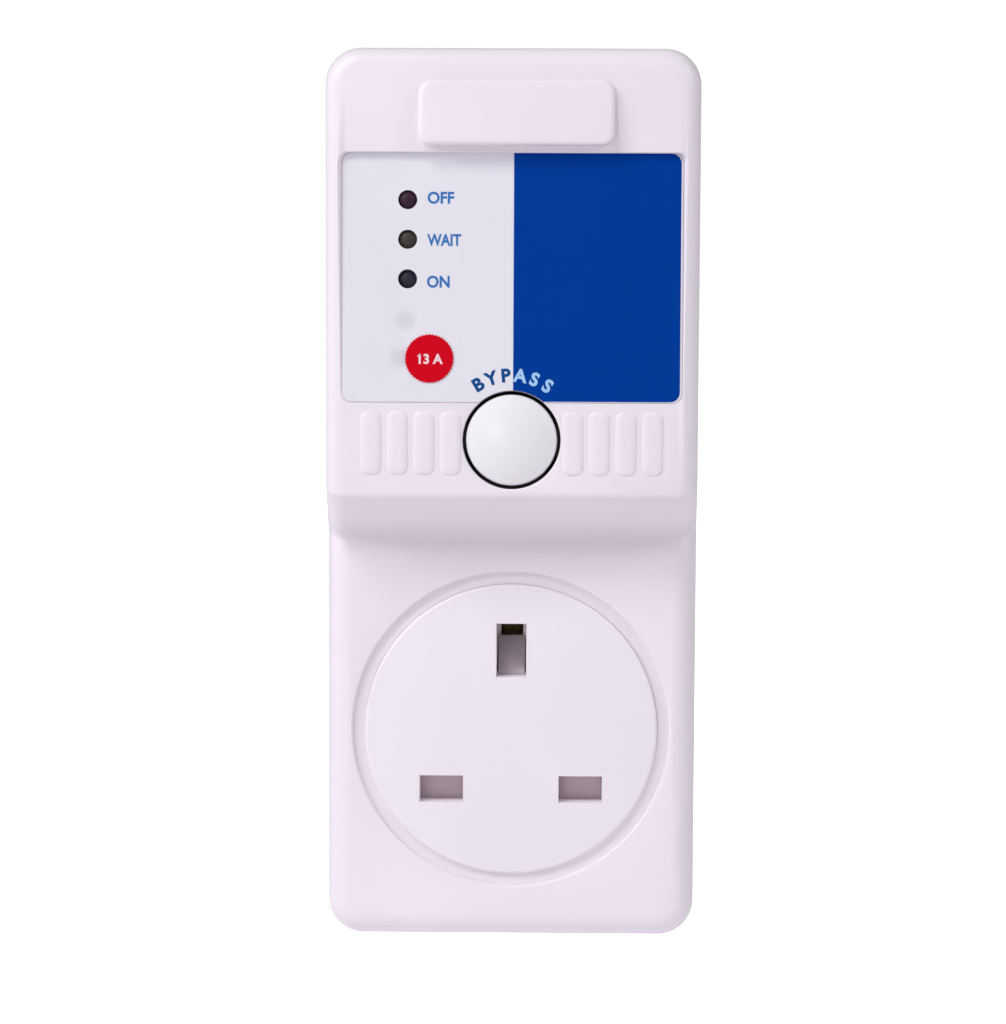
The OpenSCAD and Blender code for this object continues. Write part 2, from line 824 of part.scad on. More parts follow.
// One lamp, turned from a dome, a stalk and a flange
module lamp(i, shade) {
    r = lamp_d / 2;
    color(shade) translate([-lamp_x, lamp_base_y, lamp_z - i * lamp_pitch]) rotate([90, 0, 0])
        rotate_extrude() {
            square([r, lamp_l - r]);
            square([lamp_flange_r, lamp_flange_t]);
            translate([0, lamp_l - r]) intersection() {
                circle(r);
                square(r);
            }
        }
}

module led_off() {
    lamp(0, [0.30, 0.07, 0.16]);
}

module led_wait() {
    lamp(1, [0.28, 0.26, 0.16]);
}

module led_on() {
    lamp(2, [0.10, 0.16, 0.20]);
}

module led_spacers() {
    color(inner_white) for (i = [0:2]) translate([-lamp_x, 0, lamp_z - i * lamp_pitch])
        difference() {
            rod(0, 0, spacer_r, lamp_base_y, board_y);
            rod(0, 0, spacer_bore_r, lamp_base_y - over, board_y + over);
        }
}

module led_leads() {
    color(steel) for (i = [0:2], side = [-1, 1])
        rod(side * lead_x - lamp_x, lamp_z - i * lamp_pitch, lead_r, lamp_base_y,
            board_back_y + lead_out);
}

// A hole in the board round a component's leg
module leg_hole(x, z) {
    rod(x, z, leg_r + 2 * thread_gap, board_y - over, board_back_y + over);
}

// Where the legs of the components pass the board
smoothing_legs = [for (side = [-1, 1])
    [smoothing_at.x + side * smoothing_r / 2, board_z + smoothing_at.y]];
timing_legs = [for (side = [-1, 1])
    [timing_at.x + side * timing_r / 2, board_z + timing_at.y]];
film_legs = [for (side = [-1, 1])
    [film_at.x + side * film_size.x * 0.4, board_z + film_at.y]];
varistor_legs = [for (side = [-1, 1])
    [varistor_at.x, board_z + varistor_at.y + side * varistor_r * 0.7]];
relay_legs = [for (x = [-1, 1], z = [-1, 1])
    [relay_at.x + x * relay_size.x * 0.35, relay_at.y + z * relay_size.y * 0.38]];
switch_legs = [for (x = [-1, 1], z = [-1, 1])
    [x * switch_size * 0.4, button_z + z * switch_size * 0.35]];
bobbin_legs = [for (x = [-1, 1], z = [-1, 1])
    [x * (window_l / 2 - bobbin_t / 2), core_at_z + z * (leg_t + bobbin_leg_rise)]];
chip_legs = [for (x = [-1, 1], i = [-1.5:1:1.5])
    [chip_at.x + x * chip_size.x * 0.58, board_z + chip_at.y + i * chip_size.y / 4]];

module circuit_board() {
    color(board_green) difference() {
        slab(board_y, board_back_y)
            round_rect([-board_w / 2, board_z], [board_w / 2, board_top_z], board_corner_r);
        at_board_screws() rod(0, 0, board_screw_r + slip, board_y - over, board_back_y + over);
        for (i = [0:2], side = [-1, 1])
            rod(side * lead_x - lamp_x, lamp_z - i * lamp_pitch, lead_r + 2 * thread_gap,
                board_y - over, board_back_y + over);
        for (p = concat(smoothing_legs, timing_legs, film_legs, varistor_legs, relay_legs,
                switch_legs, bobbin_legs, chip_legs))
            leg_hole(p.x, p.y);
    }
}

// A round-headed screw along the depth, its head on y = 0 and its shank towards the front
module screw(r, length, head_r, head_t) {
    difference() {
        union() {
            rod(0, 0, r, -length, head_t / 2);
            rod(0, 0, head_r, 0, head_t);
        }
        for (turn = [0, 90]) rotate([0, turn, 0])
            span([-slot_cut_w / 2, head_t - slot_cut_depth, -head_r * 0.6],
                [slot_cut_w / 2, head_t + over, head_r * 0.6]);
    }
}

module pcb_screws() {
    color(steel) at_board_screws() translate([0, board_back_y, 0])
        screw(board_screw_r, board_screw_l, board_screw_head_r, board_screw_head_t);
}

module case_screws() {
    color(steel) at_case_screws() translate([0, -head_sink, 0])
        screw(case_screw_r, case_screw_l, case_screw_head_r, case_screw_head_t);
}

module carrier_screws() {
    color(steel) for (side = [-1, 1])
        translate([side * boss_at.x, carrier_seat_y, boss_at.y])
            screw(carrier_screw_r, carrier_seat_y - plate_inner_y - 2 * over,
                carrier_screw_head_r, carrier_screw_head_t);
}

module clamp_screws() {
    color(steel) for (side = [-1, 1])
        translate([side * clamp_screw_at.x, clamp_front_y, clamp_screw_at.y]) rotate([180, 0, 0])
            screw(board_screw_r, clamp_screw_l - over, board_screw_head_r, board_screw_head_t);
}

// The stack of laminations, with two windows beside its middle leg
module transformer_core() {
    half = [core_l / 2, core_size / 2];
    color([0.35, 0.35, 0.37]) translate([0, 0, core_at_z])
        slab(core_y - core_t / 2, core_y + core_t / 2) difference() {
            translate(-half) square(2 * half);
            for (side = [-1, 1])
                rect_at([0, side * (leg_t + (half.y - leg_t - leg_t) / 2)],
                    [window_l, half.y - leg_t - leg_t]);
        }
}

// The bobbin: a tube round the middle leg, a flange at each end and its legs
module transformer_bobbin() {
    inner = [leg_t + bobbin_fit, core_t / 2 + bobbin_fit];
    outer = inner + [bobbin_t, bobbin_t];
    flange = outer + [bobbin_flange - bobbin_t - 2 * bobbin_fit, bobbin_flange];
    color([0.13, 0.13, 0.14]) translate([0, core_y, core_at_z]) {
        difference() {
            union() {
                span([-window_l / 2 + bobbin_fit, -outer.y, -outer.x],
                    [window_l / 2 - bobbin_fit, outer.y, outer.x]);
                for (side = [-1, 1]) {
                    x = side * (window_l / 2 - bobbin_fit - bobbin_t / 2);
                    span([x - bobbin_t / 2, -flange.y, -flange.x],
                        [x + bobbin_t / 2, flange.y, flange.x]);
                }
            }
            span([-core_l, -inner.y, -inner.x], [core_l, inner.y, inner.x]);
        }
    }
    color([0.13, 0.13, 0.14]) for (p = bobbin_legs)
        rod(p.x, p.y, leg_r, board_y - leg_out, core_y - outer.y - bobbin_t);
}

// The copper wound between the flanges, as one closed block with rounded corners
module transformer_winding() {
    inner = [leg_t + bobbin_fit + bobbin_t, core_t / 2 + bobbin_fit + bobbin_t];
    outer = [inner.x + winding_t - bobbin_t, inner.y + winding_t];
    half_l = window_l / 2 - bobbin_fit - bobbin_t - bobbin_fit;
    color(copper) translate([0, core_y, core_at_z])
        side_slab(-half_l, half_l) difference() {
            round_rect([-outer.y, -outer.x], [outer.y, outer.x], winding_t / 2);
            translate([-inner.y, -inner.x]) square(2 * [inner.y, inner.x]);
        }
}

// Relay: y measured from the board's back face
relay_floor_y = board_back_y + relay_base_t;
relay_low_z = relay_at.y - relay_size.y / 2;
relay_top_z = relay_at.y + relay_size.y / 2;
yoke_z = relay_low_z + relay_wall + slip;
coil_z = yoke_z + yoke_plate_t + slip + coil_r;
coil_y = relay_floor_y + yoke_plate_t;
pole_y = coil_y + coil_l + pole_out;
armature_y = pole_y + pole_gap;
hinge_y = armature_y - armature_lift / 2;
post_z = yoke_z + armature_l - contact_rivet_r;

module relay_base() {
    half = [relay_size.x / 2, relay_size.y / 2];
    color([0.15, 0.2, 0.35]) {
        slab(board_back_y, relay_floor_y) rect_at(relay_at, 2 * half);
        for (p = relay_legs) rod(p.x, p.y, leg_r, board_y - leg_out, relay_floor_y - thin);
    }
}

module relay_cover() {
    half = [relay_size.x / 2, relay_size.y / 2];
    inner = half - [relay_wall, relay_wall];
    color([0.12, 0.28, 0.55]) difference() {
        slab(relay_floor_y, board_back_y + relay_size.z) rect_at(relay_at, 2 * half);
        slab(relay_floor_y - over, board_back_y + relay_size.z - relay_wall)
            rect_at(relay_at, 2 * inner);
    }
}

module relay_coil() {
    color(copper) difference() {
        union() {
            rod(relay_at.x, coil_z, coil_r - coil_flange_t / 2, coil_y, coil_y + coil_l);
            for (y = [coil_y, coil_y + coil_l - coil_flange_t])
                rod(relay_at.x, coil_z, coil_r, y, y + coil_flange_t);
        }
        rod(relay_at.x, coil_z, pole_r + slip / 2, coil_y - over, coil_y + coil_l + over);
    }
}

module relay_yoke() {
    x = relay_at.x;
    color(steel) {
        span([x - yoke_w / 2, relay_floor_y, yoke_z],
            [x + yoke_w / 2, relay_floor_y + yoke_plate_t, coil_z + coil_r]);
        span([x - yoke_w / 2, relay_floor_y, yoke_z],
            [x + yoke_w / 2, armature_y - armature_lift, yoke_z + yoke_plate_t]);
        rod(x, coil_z, pole_r, relay_floor_y + yoke_plate_t / 2, pole_y);
    }
}

module relay_armature() {
    x = relay_at.x;
    color(steel) {
        span([x - armature_w / 2, armature_y, yoke_z],
            [x + armature_w / 2, armature_y + armature_t, yoke_z + armature_l]);
        rod(x, post_z, contact_rivet_r, armature_y - contact_rivet_t, armature_y + armature_t / 2);
    }
}

module relay_contact_post() {
    x = relay_at.x;
    top = armature_y - contact_rivet_t - contact_open;
    color(brass) {
        span([x - contact_rivet_r, relay_floor_y, post_z - yoke_plate_t / 2],
            [x + contact_rivet_r, top - contact_rivet_t, post_z + yoke_plate_t / 2]);
        rod(x, post_z, contact_rivet_r, top - 2 * contact_rivet_t, top);
    }
}

// A round component that stands on the board's back, with two legs
module can(at, legs, r, length, shade) {
    z = board_z + at.y;
    color(shade) {
        rod(at.x, z, r, board_back_y + part_lift, board_back_y + part_lift + length);
        for (p = legs) rod(p.x, p.y, leg_r, board_y - leg_out, board_back_y + 2 * part_lift);
    }
}

module smoothing_capacitor() {
    can(smoothing_at, smoothing_legs, smoothing_r, smoothing_l, [0.12, 0.16, 0.30]);
}

module timing_capacitor() {
    can(timing_at, timing_legs, timing_r, timing_l, [0.14, 0.14, 0.16]);
}

module film_capacitor() {
    z = board_z + film_at.y;
    color([0.86, 0.74, 0.20]) {
        slab(board_back_y + part_lift, board_back_y + part_lift + film_size.z)
            rect_at([film_at.x, z], [film_size.x, film_size.y]);
        for (p = film_legs) rod(p.x, p.y, leg_r, board_y - leg_out, board_back_y + 2 * part_lift);
    }
}

module varistor() {
    z = board_z + varistor_at.y;
    y = board_back_y + varistor_r + varistor_stand;
    color([0.10, 0.30, 0.62]) {
        translate([varistor_at.x - varistor_t / 2, y, z]) rotate([0, 90, 0])
            cylinder(h = varistor_t, r = varistor_r);
        for (p = varistor_legs) rod(p.x, p.y, leg_r, board_y - leg_out, y);
    }
}

module chip_socket() {
    at = [chip_at.x, board_z + chip_at.y];
    color([0.12, 0.12, 0.13]) {
        slab(board_y - chip_socket_h, board_y) difference() {
            rect_at(at, [chip_size.x * 1.5, chip_size.y]);
            rect_at(at, [chip_size.x * 0.7, chip_size.y * 0.7]);
        }
        for (p = chip_legs) rod(p.x, p.y, leg_r, board_y - over, board_back_y + leg_out);
    }
}

module controller_chip() {
    at = [chip_at.x, board_z + chip_at.y];
    color([0.16, 0.16, 0.17]) {
        slab(board_y - chip_socket_h - chip_size.z, board_y - chip_socket_h)
            rect_at(at, [chip_size.x, chip_size.y]);
        slab(board_y - chip_socket_h - chip_size.z / 2, board_y - chip_socket_h)
            for (x = [-1, 1], i = [-1.5:1:1.5])
                rect_at(at + [x * chip_size.x * 0.58, i * chip_size.y / 4],
                    [chip_size.x * 0.2, chip_size.y / 12]);
    }
}

module transistors() {
    color([0.14, 0.14, 0.15]) for (at = transistor_at) translate([at.x, 0, board_z + at.y])
        difference() {
            rod(0, 0, transistor_r, board_y - transistor_l, board_y);
            span([-transistor_r, board_y - transistor_l - over, transistor_r / 2],
                [transistor_r, board_y + over, 2 * transistor_r]);
        }
}

// A small round component that lies on the board's front
module lying(at, r, length) {
    translate([at.x - length / 2, board_y - r, board_z + at.y]) rotate([0, 90, 0])
        cylinder(h = length, r = r);
}

module diodes() {
    color([0.10, 0.10, 0.11]) for (at = diode_at) lying(at, diode_r, diode_l);
}

module resistors() {
    color([0.76, 0.66, 0.50]) for (at = resistor_at) lying(at, resistor_r, resistor_l);
}

// A plug pin along the depth at (x, z): its shoulder behind the wall, its tail and its nose.
// waist is the thickness taken off all round where a sleeve covers it.
module plug_pin(x, z, size, length, waist) {
    grow = [shoulder_rim, shoulder_rim] * 2;
    nose = size - [pin_nose, pin_nose];
    color(brass) {
        slab(pin_end_y, -rear_wall) rect_at([x, z], size);
        slab(clamp_back_y, -rear_wall) rect_at([x, z], size + grow);
        slab(-rear_wall, sleeve_l) rect_at([x, z], size - 2 * [waist, waist]);
        slab(sleeve_l, length - pin_nose) rect_at([x, z], size);
        hull() {
            slab(length - pin_nose, length - pin_nose + thin) rect_at([x, z], size);
            slab(length - thin, length) rect_at([x, z], nose);
        }
    }
}

module line_pin() {
    plug_pin(pin_x, pin_z, [live_pin_w, pin_t], live_pin_l, sleeve_t);
}

module neutral_pin() {
    plug_pin(-pin_x, pin_z, [live_pin_w, pin_t], live_pin_l, sleeve_t);
}

module earth_pin() {
    plug_pin(0, earth_z, [pin_t, earth_pin_h], earth_pin_l, 0);
}

module pin_sleeve(x) {
    size = [live_pin_w, pin_t];
    color([0.16, 0.16, 0.17]) slab(-rear_wall, sleeve_l) difference() {
        rect_at([x, pin_z], size);
        rect_at([x, pin_z], size - 2 * [sleeve_t, sleeve_t]);
    }
}

module line_pin_sleeve() {
    pin_sleeve(pin_x);
}

module neutral_pin_sleeve() {
    pin_sleeve(-pin_x);
}

module pin_clamp_plate() {
    color(inner_white) difference() {
        slab(clamp_front_y, clamp_back_y) difference() {
            round_rect([-clamp_half_w, clamp_low_z], [clamp_half_w, clamp_top_z], clamp_corner_r);
            for (side = [-1, 1])
                rect_at([side * pin_x, pin_z], [live_pin_w + 2 * pin_fit, pin_t + 2 * pin_fit]);
            rect_at([0, earth_z], [pin_t + 2 * pin_fit, earth_pin_h + 2 * pin_fit]);
        }
        for (side = [-1, 1])
            rod(side * clamp_screw_at.x, clamp_screw_at.y, board_screw_r + slip,
                clamp_front_y - over, clamp_back_y + over);
        for (at = pillar_at)
            rod(at.x, at.y, pillar_r + slip, clamp_front_y - over, clamp_back_y + over);
    }
}

// The outline that the carrier and its cover share
module carrier_outline() {
    intersection() {
        circle(carrier_r);
        rect_at([0, 0], [2 * carrier_half_w, 2 * carrier_r]);
    }
}

module contact_carrier() {
    color(inner_white) difference() {
        slab(face_back_y, carrier_back_y) carrier_outline();
        span([-shutter_half_w - run_gap, face_back_y - over, pocket_low_z],
            [shutter_half_w + run_gap, pocket_y, shutter_top_z + run_gap]);
        span([-foot_half_w - run_gap, face_back_y - over, channel_low_z],
            [foot_half_w + run_gap, channel_y, shutter_low_z + foot_size_z + run_gap]);
        span([-earth_cavity_half_w, face_back_y - over,
                shutter_top_z - over - shutter_travel - run_gap],
            [earth_cavity_half_w, earth_contact_y - run_gap, earth_z + earth_slot_h / 2 + over]);
        span([-earth_cavity_half_w, earth_contact_y - over, earth_z - earth_slot_h / 2],
            [earth_cavity_half_w, carrier_back_y + over,
                earth_z + earth_slot_h / 2 + contact_t + contact_space]);
        for (side = [-1, 1]) {
            slab(pocket_y - over, live_pocket_y + over)
                rect_at([side * pin_x, pin_z], [slot_w, slot_h]);
            slab(live_pocket_y, carrier_back_y + over)
                rect_at([side * pin_x, pin_z], live_pocket);
            rod(side * boss_at.x, boss_at.y, boss_r + slip, face_back_y - over,
                face_back_y + boss_l + slip);
            rod(side * boss_at.x, boss_at.y, carrier_screw_r + slip, face_back_y,
                carrier_seat_y + over);
            rod(side * boss_at.x, boss_at.y, carrier_screw_head_r + slip, carrier_seat_y,
                carrier_back_y + over);
        }
    }
}

module carrier_cover() {
    color(inner_white) slab(carrier_back_y, cover_back_y) difference() {
        carrier_outline();
        for (side = [-1, 1])
            rect_at([side * pin_x, pin_z + wire_window / 2], [live_pin_w, slot_h + wire_window]);
        rect_at([0, earth_z + contact_t / 2],
            [earth_slot_w, earth_slot_h + 2 * contact_t + 2 * contact_space]);
    }
}

// A fork of two leaves that grips a pin, drawn in depth and height, open to the front
module fork(y_front, y_back, gap, t) {
    for (side = [-1, 1]) {
        rect_at([(y_front + y_back) / 2, side * (gap + t) / 2], [y_back - y_front, t]);
        translate([y_front, side * (gap + t) / 2]) rotate(-side * lip_angle)
            translate([-lip_l, -t / 2]) square([lip_l + t / 2, t]);
    }
}

module live_contact(x) {
    gap = pin_t - 2 * grip_gap;
    color(brass) translate([0, 0, pin_z]) side_slab(x - contact_w / 2, x + contact_w / 2) {
        fork(live_pocket_y + lip_l + contact_space, carrier_back_y, gap, contact_t);
        rect_at([carrier_back_y - contact_t / 2, 0], [contact_t, gap + contact_t]);
    }
}

module line_contact() {
    live_contact(pin_x);
}

module neutral_contact() {
    live_contact(-pin_x);
}

module earth_contact() {
    half = pin_t / 2 - grip_gap;
    web_z = earth_z + earth_slot_h / 2 + contact_space / 2;
    color(brass) {
        for (side = [-1, 1]) {
            x = side * (half + contact_t / 2);
            span([x - contact_t / 2, earth_contact_y, earth_z - earth_pin_h / 2],
                [x + contact_t / 2, carrier_back_y - contact_space, web_z + contact_t]);
        }
        span([-half - contact_t, earth_contact_y, web_z],
            [half + contact_t, carrier_back_y - contact_space, web_z + contact_t]);
        span([-half, carrier_back_y - contact_space - over, web_z],
            [half, pin_end_y - strap_t, web_z + contact_t]);
    }
}

module earth_strap() {
    web_z = earth_z + earth_slot_h / 2 + contact_space / 2;
    color(brass) span([-pin_t / 2, pin_end_y - strap_t, earth_z - earth_pin_h / 2],
        [pin_t / 2, pin_end_y, web_z + contact_t]);
}

module neutral_strap() {
    half = live_pin_w / 2 - contact_space;
    color(brass) translate([-pin_x, 0, pin_z]) {
        span([-half, carrier_back_y, -strap_t / 2], [half, pin_end_y, strap_t / 2]);
        span([-half, carrier_back_y, -strap_t / 2],
            [half, carrier_back_y + strap_t, slot_h / 2 - contact_space]);
        span([-half, pin_end_y - strap_t, -strap_t / 2],
            [half, pin_end_y, slot_h / 2 - contact_space]);
    }
}

module shutter() {
    y_front = face_back_y + slip;
    y_back = y_front + shutter_t;
    color([0.90, 0.90, 0.88]) {
        slab(y_front, y_back) difference() {
            translate([-shutter_half_w, shutter_low_z])
                square([2 * shutter_half_w, shutter_top_z - shutter_low_z]);
            for (side = [-1, 1])
                rect_at([side * pin_x, pin_z + shutter_travel], [window_w, window_h]);
        }
        span([-foot_half_w, y_front, shutter_low_z],
            [foot_half_w, channel_y - run_gap, shutter_low_z + foot_size_z]);
        side_slab(-cam_half_w, cam_half_w) polygon([
            [y_front, shutter_top_z - over], [y_front, shutter_top_z],
            [y_front + cam_depth, shutter_top_z + shutter_travel],
            [y_front + cam_depth, shutter_top_z - over]]);
    }
}

module shutter_spring() {
    color(steel) translate([0, face_back_y + spring_r + spring_wire_r + slip, channel_low_z])
        coil(spring_space, spring_r, spring_wire_r, spring_turns, 12);
}

module wire(points, shade) {
    color(shade) tube(curve(points, wire_steps), wire_r, wire_sides, [0.7, 0.6, 0.4]);
}

// The last points of every wire: up behind the chin and forward to the board's back face
function wire_end(x) = [[x, wire_bend_y, board_pad_z - wire_bend_drop],
    [x, board_back_y + wire_end_l, board_pad_z], [x, board_back_y, board_pad_z]];
// A wire from the outer side of a rear pin up one side of the case
function lane_points(side) = concat(
    [[side * (pin_x + live_pin_w / 2), wire_y, pin_z], [side * (pin_x + live_pin_w), wire_y, pin_z]],
    [for (z = [0, earth_z, wire_turn_z]) [side * wire_lane_x, wire_y, z]],
    wire_end(side * wire_lane_x));

module line_in_wire() {
    wire(lane_points(1), [0.50, 0.26, 0.12]);
}

module line_out_wire() {
    start = [[pin_x, carrier_back_y, pin_z], [pin_x, carrier_back_y + wire_r, pin_z + slip / 2],
        [pin_x, wire_out_y - wire_r / 2, pin_z + 1.5 * wire_r],
        [pin_x, wire_out_y, pin_z + 4 * wire_r], [pin_x, wire_out_y, earth_z],
        [wire_out_top_x, wire_out_y, wire_turn_z]];
    wire(concat(start, wire_end(wire_out_top_x)), [0.50, 0.26, 0.12]);
}

module neutral_wire() {
    wire(lane_points(-1), [0.12, 0.30, 0.62]);
}

front_shell();
rear_shell();
socket_faceplate();
front_label();
label_print();
rating_sticker();
bypass_button();
button_spring();
switch_plunger();
push_switch_body();
led_off();
led_wait();
led_on();
led_spacers();
led_leads();
circuit_board();
pcb_screws();
transformer_core();
transformer_bobbin();
transformer_winding();
relay_base();
relay_cover();
relay_coil();
relay_yoke();
relay_armature();
relay_contact_post();
smoothing_capacitor();
timing_capacitor();
film_capacitor();
varistor();
chip_socket();
controller_chip();
transistors();
diodes();
resistors();
line_pin();
neutral_pin();
earth_pin();
line_pin_sleeve();
neutral_pin_sleeve();
pin_clamp_plate();
clamp_screws();
contact_carrier();
carrier_cover();
carrier_screws();
line_contact();
neutral_contact();
earth_contact();
earth_strap();
neutral_strap();
shutter();
shutter_spring();
case_screws();
line_in_wire();
line_out_wire();
neutral_wire();
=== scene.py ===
"""Looks of a plug-through voltage protector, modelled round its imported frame.

Lengths are in metres and are written as millimetres times MM. The front looks along -Y, +X is
to the right and +Z is up, with the origin on the wall face, on the axis of the socket.
"""
import logging
import math
from dataclasses import dataclass, field, replace
from enum import Enum, IntEnum
from typing import Any, Callable, Iterable, Protocol, Sequence

import bpy
from mathutils import Matrix, Vector


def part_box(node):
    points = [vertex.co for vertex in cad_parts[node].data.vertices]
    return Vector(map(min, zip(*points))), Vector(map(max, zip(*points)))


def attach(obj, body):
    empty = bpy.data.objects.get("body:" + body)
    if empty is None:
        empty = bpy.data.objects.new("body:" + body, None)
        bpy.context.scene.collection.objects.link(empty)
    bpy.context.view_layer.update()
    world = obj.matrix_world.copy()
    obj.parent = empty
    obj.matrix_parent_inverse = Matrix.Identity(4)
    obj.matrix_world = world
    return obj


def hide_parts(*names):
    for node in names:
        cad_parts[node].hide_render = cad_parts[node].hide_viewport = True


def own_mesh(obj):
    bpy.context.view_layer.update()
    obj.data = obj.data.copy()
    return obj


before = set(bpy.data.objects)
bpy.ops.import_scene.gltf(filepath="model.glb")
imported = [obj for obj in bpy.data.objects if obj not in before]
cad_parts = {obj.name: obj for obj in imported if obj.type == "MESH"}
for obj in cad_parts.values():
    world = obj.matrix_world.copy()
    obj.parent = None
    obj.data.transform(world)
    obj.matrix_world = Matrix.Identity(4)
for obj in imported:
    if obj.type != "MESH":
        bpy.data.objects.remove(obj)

logging.basicConfig(level=logging.INFO, format="%(message)s")
LOG = logging.getLogger("scene")

MM = 0.001
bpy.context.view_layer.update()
OVER = 0.5 * MM          # how far a cutter reaches past what it cuts
HAIR = 1e-5              # places nearer than this count as one
WELD = HAIR / 2          # points nearer than this are merged
FINE_WELD = HAIR / 10    # the same for lettering and springs
FULL_TURN = 2 * math.pi
QUARTER_TURN = math.pi / 2
CAPITAL_SHARE = 0.73     # a capital's height in the font, as a share of its size

Colour = tuple[float, float, float]
Place = tuple[float, float]
Section = tuple[float, float, float, float]
Test = Callable[..., bool]

WHITE: Colour = (1.0, 1.0, 1.0)


class Body(Enum):
    """The bodies that the pieces of this script move with."""

    CASE = "case"
    BUTTON = "button"


class Slot(Enum):
    """The record's material slots, one named for each piece; the script does not use them."""

    CASE_WHITE = "case_white"
    FACE_WHITE = "face_white"
    LABEL_WHITE = "label_white"
    PRINT_BLUE = "print_blue"
    STICKER_RED = "sticker_red"
    BLACK_PLASTIC = "black_plastic"
    STEEL = "steel"
    BRASS = "brass"


class Flats(IntEnum):
    """How many flats stand for a full circle."""

    FACE = 160
    CAP = 128
    BUTTON_HOLE = 96
    POST = 64
    WIDE_BORE = 48
    BORE = 32
    SMALL_BORE = 24
    WIRE = 10


class Join(Enum):
    """What becomes of two solids that are put together."""

    ADD = "UNION"
    CUT = "DIFFERENCE"
    KEEP = "INTERSECT"


class Part(Enum):
    """The parts of a mesh that a test can pick."""

    VERTS = "VERT"
    EDGES = "EDGE"
    FACES = "FACE"


class Axis(Enum):
    """The axes that a spring can lie along."""

    Y = "Y"
    Z = "Z"


class Signal:
    """A node's output that takes part in sums like a number."""

    def __init__(self, graph: "Graph", socket: bpy.types.NodeSocket) -> None:
        """Keep the graph that the socket belongs to.

        Args:
            graph: The node tree that new Math nodes go to.
            socket: The output that this signal stands for.
        """
        self.graph = graph
        self.socket = socket

    def __add__(self, other: "Term") -> "Signal":
        """Add a signal or a number."""
        return self.graph.math("ADD", self, other)

    def __radd__(self, other: "Term") -> "Signal":
        """Add this signal to a number."""
        return self.graph.math("ADD", other, self)

    def __sub__(self, other: "Term") -> "Signal":
        """Take a signal or a number away."""
        return self.graph.math("SUBTRACT", self, other)

    def __rsub__(self, other: "Term") -> "Signal":
        """Take this signal away from a number."""
        return self.graph.math("SUBTRACT", other, self)

    def __mul__(self, other: "Term") -> "Signal":
        """Multiply by a signal or a number."""
        return self.graph.math("MULTIPLY", self, other)

    def __rmul__(self, other: "Term") -> "Signal":
        """Multiply a number by this signal."""
        return self.graph.math("MULTIPLY", other, self)

    def __lt__(self, other: "Term") -> "Signal":
        """Give 1 where this signal is smaller, and 0 elsewhere."""
        return self.graph.math("LESS_THAN", self, other)

    def __abs__(self) -> "Signal":
        """Give the size without the sign."""
        return self.graph.math("ABSOLUTE", self)


Term = Signal | float | int


